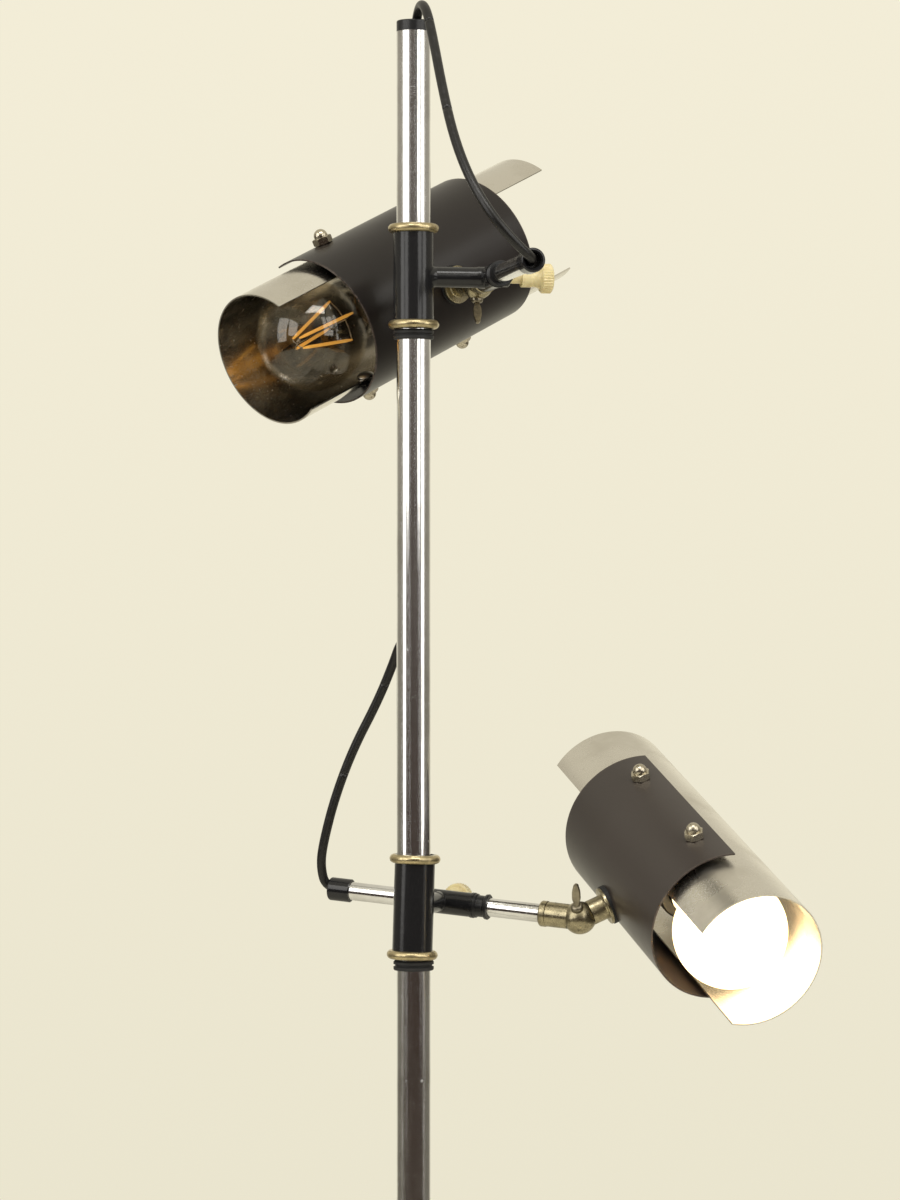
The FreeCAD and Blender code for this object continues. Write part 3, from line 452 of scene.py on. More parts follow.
@dataclass(frozen=True)
class AgedBrass(Finish):
    """Satin brass with a green-brown film in patches."""

    bright: Colour = (0.60, 0.50, 0.29)
    film: Colour = (0.24, 0.20, 0.12)
    roughness: float = 0.26
    patches: Mottle = Mottle(150.0, 6.0, 0.62, 0.40, 0.68)
    patch_share: float = 0.6
    patch_roughness: float = 0.16
    pits: Mottle = Mottle(1500.0, 2.0, 0.5, 0.60, 0.72)
    pit_share: float = 0.35
    pit_roughness: float = 0.2
    cast: Mottle = Mottle(3200.0, 2.0, 0.5)
    relief: Relief = Relief(0.00003, 0.6)

    def surface(self, skin: Skin) -> Expr:
        """Builds its shader.

        Args:
            skin: its material.

        Returns:
            The shader.
        """
        patches = skin.mask(self.patches)
        pits = skin.mask(self.pits)
        film = patches * self.patch_share + pits * self.pit_share
        return skin.principled(
            Base_Color=skin.mix(film, self.bright, self.film), Metallic=1.0,
            Roughness=patches * self.patch_roughness + pits * self.pit_roughness + self.roughness,
            Normal=skin.bump(skin.noise(self.cast) - pits, self.relief))


@dataclass(frozen=True)
class SheetPaint(Finish):
    """Satin dark enamel on the shells, with rubbed rims, hairlines, dust and faint orange peel."""

    shade: Matrix
    colour: Colour
    rubbed: Colour = (0.085, 0.062, 0.050)
    rear: float = -0.0616
    front: float = 0.0668
    rim: float = 0.0012
    rubs: Mottle = Mottle(700.0, 4.0, 0.6, 0.35, 0.6)
    rub_roughness: float = 0.15
    dust: Mottle = Mottle(2600.0, 2.0, 0.6, 0.70, 0.76)
    dust_share: float = 0.25
    lines: Hairlines = Hairlines(500.0, 0.004, (1.0, 0.08, 1.0))
    line_share: float = 0.3
    cloud: Mottle = Mottle(45.0, 5.0, 0.6)
    cloud_roughness: float = 0.12
    roughness: float = 0.27
    peel: Mottle = Mottle(1300.0, 2.0, 0.5)
    relief: Relief = Relief(0.00004, 0.45)

    def rubbed_rims(self, skin: Skin) -> Expr:
        """Mask of the bare places on both rims, found along the shade's axis.

        Args:
            skin: the material that is built.

        Returns:
            A mask, 1 where the paint is gone.
        """
        centre = self.shade.to_translation()
        axis = self.shade.to_3x3().col[2]
        along = skin.place().dot(tuple(axis)) - centre.dot(axis)
        front = along.ramp(self.front - self.rim, self.front)
        return front.largest(along.ramp(self.rear + self.rim, self.rear)) * skin.mask(self.rubs)

    def surface(self, skin: Skin) -> Expr:
        """Builds its shader.

        Args:
            skin: its material.

        Returns:
            The shader.
        """
        rub = self.rubbed_rims(skin)
        marks = skin.mask(self.dust) * self.dust_share + skin.hairlines(self.lines) * self.line_share
        cloud = skin.noise(self.cloud) * self.cloud_roughness
        return skin.principled(
            Base_Color=skin.mix(rub.largest(marks), self.colour, self.rubbed),
            Roughness=cloud + rub * self.rub_roughness + self.roughness,
            Normal=skin.bump(skin.noise(self.peel), self.relief))


@dataclass(frozen=True)
class GlossBlack(Finish):
    """Brushed-on or moulded glossy black, with soft waves, dust and knocks."""

    roughness: float
    knock_share: float = 0.5
    colour: Colour = (0.012, 0.012, 0.013)
    knock: Colour = (0.10, 0.09, 0.08)
    knocks: Mottle = Mottle(900.0, 3.0, 0.6, 0.70, 0.74)
    dust: Mottle = Mottle(3800.0, 1.0, 0.5, 0.68, 0.74)
    dust_share: float = 0.25
    cloud: Mottle = Mottle(160.0, 4.0, 0.55)
    cloud_roughness: float = 0.12
    mark_roughness: float = 0.3
    waves: Mottle = Mottle(380.0, 2.0, 0.5)
    relief: Relief = Relief(0.00006, 0.6)

    def surface(self, skin: Skin) -> Expr:
        """Builds its shader.

        Args:
            skin: its material.

        Returns:
            The shader.
        """
        marks = skin.mask(self.knocks) * self.knock_share + skin.mask(self.dust) * self.dust_share
        cloud = skin.noise(self.cloud) * self.cloud_roughness
        return skin.principled(
            Base_Color=skin.mix(marks, self.colour, self.knock),
            Roughness=cloud + marks * self.mark_roughness + self.roughness,
            Normal=skin.bump(skin.noise(self.waves), self.relief))


@dataclass(frozen=True)
class Ivory(Finish):
    """Aged ivory plastic, with stains and specks."""

    colour: Colour = (0.82, 0.70, 0.38)
    stain: Colour = (0.52, 0.38, 0.14)
    cloud: Mottle = Mottle(260.0, 5.0, 0.6, 0.42, 0.75)
    cloud_share: float = 0.45
    cloud_roughness: float = 0.15
    specks: Mottle = Mottle(2400.0, 2.0, 0.5, 0.68, 0.74)
    speck_share: float = 0.35
    roughness: float = 0.28
    depth_share: float = 0.12
    depth: Point = (0.004, 0.003, 0.0015)
    moulding: Mottle = Mottle(1800.0, 3.0, 0.5)
    relief: Relief = Relief(0.00003, 0.5)

    def surface(self, skin: Skin) -> Expr:
        """Builds its shader.

        Args:
            skin: its material.

        Returns:
            The shader.
        """
        cloud = skin.mask(self.cloud)
        stains = cloud * self.cloud_share + skin.mask(self.specks) * self.speck_share
        return skin.principled(
            Base_Color=skin.mix(stains, self.colour, self.stain),
            Roughness=cloud * self.cloud_roughness + self.roughness,
            Subsurface_Weight=self.depth_share, Subsurface_Radius=self.depth,
            Normal=skin.bump(skin.noise(self.moulding), self.relief))


@dataclass(frozen=True)
class Sheath(Finish):
    """Black cord sheath or rubber, with a satin skin and a pale bloom."""

    colour: Colour = (0.006, 0.0055, 0.0052)
    pale: Colour = (0.030, 0.027, 0.025)
    roughness: float = 0.30
    bloom: Mottle = Mottle(220.0, 5.0, 0.6, 0.48, 0.8)
    bloom_share: float = 0.4
    bloom_roughness: float = 0.2
    skin_grain: Mottle = Mottle(2800.0, 2.0, 0.5)
    grain_roughness: float = 0.08
    relief: Relief = Relief(0.00003, 0.5)

    def surface(self, skin: Skin) -> Expr:
        """Builds its shader.

        Args:
            skin: its material.

        Returns:
            The shader.
        """
        bloom = skin.mask(self.bloom)
        fine = skin.noise(self.skin_grain)
        return skin.principled(
            Base_Color=skin.mix(bloom * self.bloom_share, self.colour, self.pale),
            Roughness=bloom * self.bloom_roughness + fine * self.grain_roughness + self.roughness,
            Normal=skin.bump(fine, self.relief))


@dataclass(frozen=True)
class CastEnamel(Finish):
    """Hammered black enamel on the base casting."""

    colour: Colour = (0.016, 0.0155, 0.0155)
    dusty: Colour = (0.07, 0.065, 0.06)
    dust: Mottle = Mottle(60.0, 6.0, 0.65, 0.46, 0.8)
    dust_share: float = 0.35
    dust_roughness: float = 0.18
    roughness: float = 0.36
    dimples: float = 420.0
    dimple_softness: float = 0.8
    relief: Relief = Relief(0.0002, 0.35)

    def surface(self, skin: Skin) -> Expr:
        """Builds its shader.

        Args:
            skin: its material.

        Returns:
            The shader.
        """
        dust = skin.mask(self.dust)
        cell_values = {"Vector": skin.place(), "Scale": self.dimples, "Smoothness": self.dimple_softness}
        cells = skin.node("ShaderNodeTexVoronoi", {"feature": "SMOOTH_F1"}, cell_values, output="Distance")
        return skin.principled(
            Base_Color=skin.mix(dust * self.dust_share, self.colour, self.dusty),
            Roughness=dust * self.dust_roughness + self.roughness, Normal=skin.bump(cells, self.relief))


@dataclass(frozen=True)
class Felt(Finish):
    """Pressed felt under the base."""

    colour: Colour = (0.02, 0.02, 0.021)
    fibre: Colour = (0.09, 0.085, 0.08)
    hairs: Mottle = Mottle(1800.0, 6.0, 0.75, 0.45, 0.75)
    roughness: float = 0.95
    fuzz: float = 0.4
    relief: Relief = Relief(0.0004, 0.8)

    def surface(self, skin: Skin) -> Expr:
        """Builds its shader.

        Args:
            skin: its material.

        Returns:
            The shader.
        """
        return skin.principled(
            Base_Color=skin.mix(skin.mask(self.hairs), self.colour, self.fibre), Roughness=self.roughness,
            Sheen_Weight=self.fuzz, Normal=skin.bump(skin.noise(self.hairs), self.relief))


@dataclass(frozen=True)
class BulbGlass(Finish):
    """Thin clear glass, faintly smoky and dusty, with a mirror sheen towards its rim; lit, it glares."""

    tint: Colour = (0.95, 0.92, 0.87)
    veil: float = 0.05
    glare: float = 0.0
    strength: float = 2.8
    dust: Mottle = Mottle(240.0, 5.0, 0.7, 0.55, 0.9)
    dust_share: float = 0.03
    dust_roughness: float = 0.12
    rim_blend: float = 0.25
    rim_share: float = 0.42
    rim_falloff: float = 2.4
    mirror: Colour = (0.95, 0.93, 0.88)
    mirror_roughness: float = 0.02
    glare_falloff: float = 1.6
    glare_middle: Colour = (1.0, 0.90, 0.66)
    glare_rim: Colour = (1.0, 0.60, 0.22)
    glare_base: Colour = (0.9, 0.8, 0.6)
    glare_roughness: float = 0.5

    def surface(self, skin: Skin) -> Expr:
        """Builds its shader.

        Args:
            skin: its material.

        Returns:
            The shader.
        """
        dust = skin.mask(self.dust)
        rim = skin.node("ShaderNodeLayerWeight", None, {"Blend": self.rim_blend}, output="Facing")
        clear = skin.node("ShaderNodeBsdfTransparent", None, {"Color": self.tint})
        mirror = skin.principled(Base_Color=self.mirror, Metallic=1.0,
                                 Roughness=dust * self.dust_roughness + self.mirror_roughness)
        share = (rim ** self.rim_falloff) * self.rim_share + dust * self.dust_share + self.veil
        glass = skin.node("ShaderNodeMixShader", None, {0: share, 1: clear, 2: mirror})
        if self.glare:
            warm = skin.mix(rim ** self.glare_falloff, self.glare_middle, self.glare_rim)
            light = skin.principled(Base_Color=self.glare_base, Roughness=self.glare_roughness,
                                    Emission_Color=warm, Emission_Strength=self.strength)
            glass = skin.node("ShaderNodeMixShader", None, {0: self.glare, 1: glass, 2: light})
        return glass


@dataclass(frozen=True)
class Glow(Finish):
    """Phosphor coating on a filament stick, paler in beads."""

    strength: float
    colour: Colour = (0.85, 0.42, 0.06)
    bead: Colour = (0.95, 0.58, 0.14)
    light: Colour = (1.0, 0.50, 0.12)
    beads: Mottle = Mottle(1600.0, 2.0, 0.5, 0.4, 0.6)
    light_beads: Mottle = Mottle(1600.0, 2.0, 0.5, 0.35, 0.65)
    roughness: float = 0.35

    def surface(self, skin: Skin) -> Expr:
        """Builds its shader.

        Args:
            skin: its material.

        Returns:
            The shader.
        """
        return skin.principled(
            Base_Color=skin.mix(skin.mask(self.beads), self.colour, self.bead), Roughness=self.roughness,
            Emission_Color=skin.mix(skin.mask(self.light_beads), self.light, self.colour),
            Emission_Strength=self.strength)


class Mesh:
    """Ways to make meshes in the lamp's frame."""

    @staticmethod
    def new(name: str, made: bmesh.types.BMesh, smooth: bool = True) -> Piece:
        """Turns a bmesh into an object.

        Args:
            name: the piece's name.
            made: the finished bmesh.
            smooth: whether its faces are shaded smooth.

        Returns:
            The object.
        """
        mesh = bpy.data.meshes.new(name)
        bmesh.ops.recalc_face_normals(made, faces=made.faces)
        made.to_mesh(mesh)
        made.free()
        for polygon in mesh.polygons:
            polygon.use_smooth = smooth
        piece = bpy.data.objects.new(name, mesh)
        bpy.context.scene.collection.objects.link(piece)
        return piece

    @staticmethod
    def circle(sides: int) -> list[Pair]:
        """Cosine and sine of each corner of a ring."""
        angles = [2 * math.pi * k / sides for k in range(sides)]
        return [(math.cos(angle), math.sin(angle)) for angle in angles]

    @staticmethod
    def bridge(made: bmesh.types.BMesh, rings: Sequence[Sequence[bmesh.types.BMVert]]) -> None:
        """Joins each ring of corners to the next one with faces.

        Args:
            made: the bmesh that the faces go into.
            rings: the rings, with the same number of corners each.
        """
        sides = len(rings[0])
        for low, high in zip(rings, rings[1:]):
            for k in range(sides):
                made.faces.new((low[k], low[(k + 1) % sides], high[(k + 1) % sides], high[k]))

    @staticmethod
    def sweep(name: str, path: Sequence[Vector], radii: Sequence[float], sides: int) -> Piece:
        """A round tube along a path, with closed ends.

        Args:
            name: the piece's name.
            path: points of its middle line.
            radii: its radius at each point.
            sides: corners of its section.

        Returns:
            The object.
        """
        made = bmesh.new()
        rings = []
        side = Vector((0.3, 0.2, 0.93))
        for i, point in enumerate(path):
            ahead = (path[min(i + 1, len(path) - 1)] - path[max(i - 1, 0)]).normalized()
            side = (side - ahead * side.dot(ahead)).normalized()
            other = ahead.cross(side)
            rings.append([made.verts.new(point + (side * cosine + other * sine) * radii[i])
                          for cosine, sine in Mesh.circle(sides)])
        Mesh.bridge(made, rings)
        made.faces.new(list(reversed(rings[0])))
        made.faces.new(rings[-1])
        return Mesh.new(name, made)

    @staticmethod
    def spun(name: str, profile: Sequence[Pair], place: Matrix, sides: int) -> Piece:
        """A profile turned round a frame's Z axis.

        Args:
            name: the piece's name.
            profile: radius and height of each point, in millimetres.
            place: the frame, in metres.
            sides: steps round the axis.

        Returns:
            The object.
        """
        made = bmesh.new()
        rings = []
        for radius, height in profile:
            rings.append([made.verts.new(place @ (Vector((radius * cosine, radius * sine, height)) * MM))
                          for cosine, sine in Mesh.circle(sides)])
        Mesh.bridge(made, rings)
        bmesh.ops.remove_doubles(made, verts=made.verts, dist=1e-6)
        return Mesh.new(name, made)


def turned(axis: str, degrees: float) -> Matrix:
    """A turn about a main axis.

    Args:
        axis: X, Y or Z.
        degrees: the angle.

    Returns:
        A 4 by 4 matrix.
    """
    return Matrix.Rotation(math.radians(degrees), 4, axis)


def moved(x: float, y: float, z: float) -> Matrix:
    """A move given in millimetres."""
    return Matrix.Translation(Vector((x, y, z)) * MM)


def frame_of(x_axis: Vector, z_axis: Vector) -> Matrix:
    """A turn from two of its axes.

    Args:
        x_axis: where X goes.
        z_axis: where Z goes.

    Returns:
        A 4 by 4 matrix.
    """
    return Matrix((x_axis, z_axis.cross(x_axis), z_axis)).transposed().to_4x4()


@dataclass
class CordLine:
    """A cord's smooth line and the tube on it.

    Args:
        name: the piece's name.
        points: control points of its line.
        radius: the cord's radius, in metres.
        order: order of the spline.
        steps: points of the line per control point.
        sides: corners of the tube's section.
    """

    name: str
    points: Sequence[Vector]
    radius: float
    order: int = 3
    steps: int = 12
    sides: int = 24
    path: list[Vector] = field(init=False)

    def __post_init__(self) -> None:
        """Works out the points of the line."""
        curve = bpy.data.curves.new(f"{self.name}_line", "CURVE")
        curve.dimensions = "3D"
        spline = curve.splines.new("NURBS")
        spline.points.add(len(self.points) - 1)
        for corner, point in zip(spline.points, self.points):
            corner.co = (*point, 1.0)
        spline.order_u = self.order
        spline.use_endpoint_u = True
        spline.resolution_u = self.steps
        holder = bpy.data.objects.new(f"{self.name}_line", curve)
        line = bpy.data.meshes.new_from_object(holder)
        self.path = [vertex.co.copy() for vertex in line.vertices]
        bpy.data.objects.remove(holder)
        bpy.data.meshes.remove(line)
        bpy.data.curves.remove(curve)

    def build(self) -> Piece:
        """The tube on the line."""
        return Mesh.sweep(self.name, self.path, [self.radius] * len(self.path), self.sides)


@dataclass(frozen=True)
class BulbInside:
    """Glass stem, wires and filament sticks of one bulb, in millimetres, with Z from its cap to its top.

    Args:
        stem: radius and height of each point of the stem's profile.
        stem_sides: steps round the stem.
        sticks: how many filament sticks stand round the stem.
        start: angle of the first stick's foot, in radians.
        twist: how far each stick's top is turned from its foot, in radians.
        foot: radius and height of a stick's foot.
        top: radius and height of a stick's top.
        stick_radius: radius of a stick.
        tip_radius: radius of its ends.
        stick_steps: lengths that a stick is made of.
        stick_sides: corners of its section.
        wire_radius: radius of the wires.
        wire_sides: corners of their section.
        wire_root: where a lead wire leaves the stem.
        wire_sag: how far a lead wire hangs between stem and stick.
        crown: share of the radius at the bend of the top wires, and their height there.
        crown_root: height at which the top wires enter the stem.
    """

    stem: Sequence[Pair] = (
        (0, 25.1), (12.1, 25.1), (11.4, 26.4), (6.5, 30.5), (4.2, 34.5), (3.2, 39.5), (2.6, 46), (2.9, 54),
        (2.6, 58.5), (1.2, 60.4), (0, 60.5))
    stem_sides: int = 32
    sticks: int = 4
    start: float = 0.35
    twist: float = 0.5
    foot: Pair = (12.0, 50.0)
    top: Pair = (4.0, 84.0)
    stick_radius: float = 0.9
    tip_radius: float = 0.55
    stick_steps: int = 8
    stick_sides: int = 12
    wire_radius: float = 0.35
    wire_sides: int = 8
    wire_root: Point = (2.4, 0.0, 49.0)
    wire_sag: float = 1.5
    crown: Pair = (0.6, 85.0)
    crown_root: float = 60.0

    def tube(self, name: str, place: Matrix, line: Sequence[Vector], radii: Sequence[float], sides: int,
             material: Material) -> Piece:
        """One tube with its material.

        Args:
            name: the piece's name.
            place: the shade's frame.
            line: points of its middle line.
            radii: its radius at each point.
            sides: corners of its section.
            material: its finish.

        Returns:
            The piece.
        """
        path = [place @ (point * MM) for point in line]
        piece = Mesh.sweep(name, path, [radius * MM for radius in radii], sides)
        piece.data.materials.append(material)
        return piece

    def stick_ends(self, index: int) -> tuple[Vector, Vector]:
        """Foot and top of one stick.

        Args:
            index: which stick, from 0.

        Returns:
            The two points.
        """
        angle = 2 * math.pi * index / self.sticks + self.start
        (low_radius, low), (high_radius, high) = self.foot, self.top
        above = angle + self.twist
        return (Vector((low_radius * math.cos(angle), low_radius * math.sin(angle), low)),
                Vector((high_radius * math.cos(above), high_radius * math.sin(above), high)))

    def wires(self, low: Vector, high: Vector) -> dict[str, list[Vector]]:
        """Lines of the two wires that hold one stick.

        Args:
            low: the stick's foot.
            high: its top.

        Returns:
            The lines by the wires' labels.
        """
        root = Vector(self.wire_root)
        middle = (low + Vector((0, 0, root.z))) / 2 - Vector((0, 0, self.wire_sag))
        inwards, height = self.crown
        bend = Vector((high.x * inwards, high.y * inwards, height))
        return {"lead": [root, middle, low],
                "tail": [high, bend, Vector((0, 0, height)), Vector((0, 0, self.crown_root))]}

    def build(self, owner: str, place: Matrix, glow: Material, wire: Material,
              glass: Material) -> list[Piece]:
        """Builds all of it.

        Args:
            owner: the head's name.
            place: the shade's frame.
            glow: material of the sticks.
            wire: material of the wires.
            glass: material of the stem.

        Returns:
            The pieces.
        """
        stem = Mesh.spun(f"{owner}_bulb_stem", self.stem, place, self.stem_sides)
        stem.data.materials.append(glass)
        pieces = [stem]
        inner = self.stick_steps - 1
        radii = [self.tip_radius] + [self.stick_radius] * inner + [self.tip_radius]
        for index in range(self.sticks):
            low, high = self.stick_ends(index)
            line = [low.lerp(high, step / self.stick_steps) for step in range(self.stick_steps + 1)]
            stick = self.tube(f"{owner}_filament_{index + 1}", place, line, radii, self.stick_sides, glow)
            for label, route in self.wires(low, high).items():
                name = f"{owner}_bulb_{label}_wire_{index + 1}"
                thickness = [self.wire_radius] * len(route)
                pieces.append(self.tube(name, place, route, thickness, self.wire_sides, wire))
            pieces.append(stick)
        return pieces


@dataclass(frozen=True)
class HeadLook:
    """What sets the finishes of one head apart from the other's.

    Args:
        shell: colour of the outer shell; the lower head's paler value is painted light on the dark enamel
            that both shells share.
        mirror_roughness: roughness of the reflector.
        glare: share of the globe that glares.
        filament_light: strength of the filaments' light; on the unlit upper bulb it is a painted glow.
    """

    shell: Colour
    mirror_roughness: float
    glare: float
    filament_light: float


@dataclass
class Head:
    """One spot head: how it stands, and what is dressed on it, in millimetres and degrees.

    Args:
        name: start of its nodes' names.
        drop: middle of the sleeve, below the pole's top.
        swivel: direction of the sleeve's stub round the pole.
        cant: lean of the sleeve.
        cant_towards: direction of that lean.
        side: 1 where the arm's knuckle lies towards the cross tube's +Y, -1 where it lies the other way.
        droop: how far the cross tube dips towards the knuckle.
        reach: middle of the cross tube to the knuckle's ball.
        roll: turn of the arm about itself.
        bend: tilt of the knuckle.
        shade_turn: direction of the shade on the knuckle.
        look: finishes of its own.
        standoff: how far before the arm's mouth the cord turns into the arm.
        cord_lengths: lengths of the free cord's stretches, in metres; not used.
        route: corners of the free cord, from the pole's axis and top.
        reach_to_shell: knuckle's ball to the outer shell.
        shell_radius: radius of the outer shell.
        arm_offset: pole's axis to the cross tube's.
        arm_length: knuckle's ball to the arm's mouth.
        cord_radius: radius of the cord.
        cord_entry: how far the cord runs into the arm.
        pieces: names of the pieces that were built.
    """

    name: str
    drop: float
    swivel: float
    cant: float
    cant_towards: float
    side: int
    droop: float
    reach: float
    roll: float
    bend: float
    shade_turn: float
    look: HeadLook
    standoff: float
    cord_lengths: tuple[float, float, float]
    route: Sequence[Point]
    reach_to_shell: float = 17.2
    shell_radius: float = 41.5
    arm_offset: float = 41.5
    arm_length: float = 143.0
    cord_radius: float = 2.5
    cord_entry: float = 7.0
    pieces: list[str] = field(default_factory=list)

    def node(self, part: str) -> str:
        """Full name of one of this head's nodes."""
        return f"{self.name}_{part}"

    def cross_frame(self) -> Matrix:
        """Where the cross tube lies, as in the solids.

        Returns:
            Its frame: X away from the pole, Y along the tube.
        """
        lean = math.radians(self.cant_towards)
        axis = Vector((-math.sin(lean), math.cos(lean), 0))
        slider = moved(0, 0, POLE_TOP - self.drop) @ Matrix.Rotation(math.radians(self.cant), 4, axis)
        stub = turned("Z", self.swivel) @ moved(self.arm_offset, 0, 0)
        return slider @ stub @ turned("X", -self.side * self.droop)

    def arm_frame(self) -> Matrix:
        """Frame of the arm: Z along it, towards the knuckle."""
        return self.cross_frame() @ frame_of(Vector((1, 0, 0)), Vector((0, self.side, 0)))

    def shade_frame(self) -> Matrix:
        """Where the shade lies, as in the solids.

        Returns:
            Its frame: Z along it towards the front, X towards the knuckle.
        """
        ball = self.arm_frame() @ turned("Z", self.roll) @ moved(0, 0, self.reach)
        turn = math.radians(self.shade_turn)
        facing = frame_of(Vector((0, 0, -1)), Vector((math.sin(turn), math.cos(turn), 0)))
        return ball @ turned("Y", self.bend) @ moved(0, 0, self.reach_to_shell + self.shell_radius) @ facing

    def stretches(self) -> list[list[Vector]]:
        """Control points of the free cord's three stretches, from the pole to the arm's end cap.

        Returns:
            One list of points per stretch; the first two end half way along a run of the route.
        """
        mouth = self.reach - self.arm_length
        ends = [self.arm_frame() @ moved(0, 0, along).to_translation()
                for along in (mouth - self.standoff, mouth + self.cord_entry)]
        points = [moved(x, y, POLE_TOP + z).to_translation() for x, y, z in self.route] + ends
        first, second = ((points[i] + points[i + 1]) / 2 for i in (2, 4))
        return [points[:3] + [first], [first] + points[3:5] + [second], [second] + points[5:]]

    def add_cords(self, sheath: Material) -> None:
        """Lays the free cord's three stretches.

        Args:
            sheath: the cord's material.
        """
        bodies = ("stand", self.node("stop"), self.node("slider"), self.node("arm_cap"))
        for i, (label, points) in enumerate(zip(("top", "middle", "end"), self.stretches())):
            line = CordLine(self.node(f"cord_{label}_sheath"), points, self.cord_radius * MM)
            piece = line.build()
            piece.data.materials.append(sheath)
            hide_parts(self.node(f"cord_{label}"))
            bodies[i + 1]
            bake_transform(piece)
            self.pieces.append(piece.name)

    def add_filaments(self, wire: Material, glass: Material) -> None:
        """Builds the inside of the bulb in place of the plain solids.

        Args:
            wire: material of the wires.
            glass: material of the stem.
        """
        # On the unlit upper bulb this emission is a painted glow; on the lit lower bulb it is the lamp's
        # own light.
        glow = Glow(self.node("filament_glow"), self.look.filament_light).build()
        for piece in BulbInside().build(self.name, self.shade_frame(), glow, wire, glass):
            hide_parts(self.node("bulb_filaments"))
            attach(piece, self.node("head"))
            self.pieces.append(piece.name)


# The upper bulb is unlit; its filaments' light of 0.5 is a painted glow.
UPPER = Head(
    name="upper", drop=129.2, swivel=11.0, cant=0.8, cant_towards=95.0, side=1, droop=0.0, reach=35.1,
    roll=2.0, bend=-33.0, shade_turn=-64.3, look=HeadLook((0.0085, 0.0052, 0.0046), 0.12, 0.0, 0.5),
    standoff=1.5, cord_lengths=(0.0449, 0.0651, 0.1126),
    route=((0.9, 2.5, 1.2), (2.6, -9.0, 13.2), (6.6, -25.5, 10.2), (10.6, -41.0, -9.3),
           (15.0, -62.0, -35.3), (21.0, -85.0, -64.3), (29.5, -102.0, -88.3), (41.0, -111.0, -107.8),
           (54.0, -107.5, -122.0)))
# The lower shell's colour is paler than the upper one's as painted light; both shells wear the same dark
# enamel.
LOWER = Head(
    name="lower", drop=462.4, swivel=70.6, cant=1.7, cant_towards=9.0, side=-1, droop=3.2, reach=79.4,
    roll=46.4, bend=40.7, shade_turn=-72.2, look=HeadLook((0.040, 0.030, 0.0245), 0.24, 0.85, 40.0),
    standoff=2.5, cord_lengths=(0.0426, 0.0559, 0.0756),
    route=((-1.4, 3.9, -319.3), (-6.5, 17.5, -320.8), (-11.5, 26.0, -335.3), (-19.8, 33.0, -355.3),
           (-33.0, 41.5, -380.8), (-43.0, 48.5, -407.3), (-49.5, 54.0, -432.3), (-51.2, 57.6, -445.3)))


@dataclass(frozen=True)
class SoftBox:
    """One soft box of the studio, in metres and watts.

    Args:
        name: its name.
        place: where it hangs.
        size: width and height.
        watts: its power.
    """

    name: str
    place: Point
    size: Pair
    watts: float

    def hang(self, aim: Point, colour: Colour) -> None:
        """Hangs it.

        Args:
            aim: what it faces.
            colour: colour of its light.
        """
        data = bpy.data.lights.new(self.name, "AREA")
        data.shape = "RECTANGLE"
        data.size, data.size_y = self.size
        data.energy = self.watts
        data.color = colour
        lamp = bpy.data.objects.new(self.name, data)
        lamp.location = self.place
        lamp.rotation_euler = (Vector(aim) - Vector(self.place)).to_track_quat("-Z", "Y").to_euler()
        bpy.context.scene.collection.objects.link(lamp)


SOFT_BOXES = (
    SoftBox("soft_box_left", (-1.90, -0.89, 1.72), (0.85, 2.0), 12.0),
    SoftBox("soft_box_right", (1.90, -0.89, 1.72), (0.85, 2.0), 11.0),
    SoftBox("soft_box_front_left", (-1.35, -1.60, 1.87), (0.72, 1.5), 8.0),
    SoftBox("soft_box_front_right", (1.25, -1.68, 1.87), (0.80, 1.5), 8.0),
    SoftBox("soft_box_above", (0.1, -1.0, 2.7), (1.3, 0.5), 12.0),
)


@dataclass(frozen=True)
class Air:
    """The world round the lamp: cream to the eye and in glass, a room in metal, soft grey as light.

    Args:
        wall: what the eye sees, over the height of a direction; darker looking down, a painted shading of
            the backdrop.
        viewer_side: what metal mirrors from the viewer's side, over its height.
        flank: what it mirrors from both sides, over its height.
        to_flank: depth of a direction over which the viewer's side turns into the flanks.
        to_wall: depth over which the flanks turn into the wall.
        ceiling: what it mirrors from above.
        to_ceiling: height over which that begins.
        ambient: the light that falls on the lamp from all round.
    """

    wall: Fade = Fade(-0.35, 0.25, (0.80, 0.76, 0.60), (0.905, 0.855, 0.690))
    viewer_side: Fade = Fade(-0.16, 0.14, (0.040, 0.026, 0.020), (0.15, 0.13, 0.115))
    flank: Fade = Fade(-0.14, 0.10, (0.16, 0.145, 0.115), (0.36, 0.33, 0.27))
    to_flank: Pair = (-0.75, 0.05)
    to_wall: Pair = (0.55, 0.98)
    ceiling: Colour = (0.66, 0.62, 0.51)
    to_ceiling: Pair = (0.18, 0.6)
    ambient: Colour = (0.42, 0.41, 0.385)

    def build(self) -> None:
        """Builds the world."""
        world = bpy.data.worlds.new("studio_air")
        world.use_nodes = True
        bpy.context.scene.world = world
        shader = Shader(world.node_tree)
        shader.tree.nodes.clear()
        looking = shader.node("ShaderNodeTexCoord", output="Generated", vector=True)
        height = looking.dot((0, 0, 1))
        depth = looking.dot((0, 1, 0))
        # Darker towards the bottom: painted shade on the backdrop.
        wall = shader.fade(height, self.wall)
        sides = shader.mix(depth.ramp(*self.to_flank), shader.fade(height, self.viewer_side),
                           shader.fade(height, self.flank))
        level = shader.mix(depth.ramp(*self.to_wall), sides, wall)
        room = shader.mix(height.ramp(*self.to_ceiling), level, self.ceiling)
        camera, through, mirrored = (shader.node("ShaderNodeLightPath", output=f"Is {ray} Ray")
                                     for ray in ("Camera", "Transmission", "Glossy"))
        seen = shader.mix(camera.largest(through), shader.mix(mirrored, self.ambient, room), wall)
        background = shader.node("ShaderNodeBackground", None, {"Color": seen, "Strength": 1.0})
        shader.node("ShaderNodeOutputWorld", None, {"Surface": background})


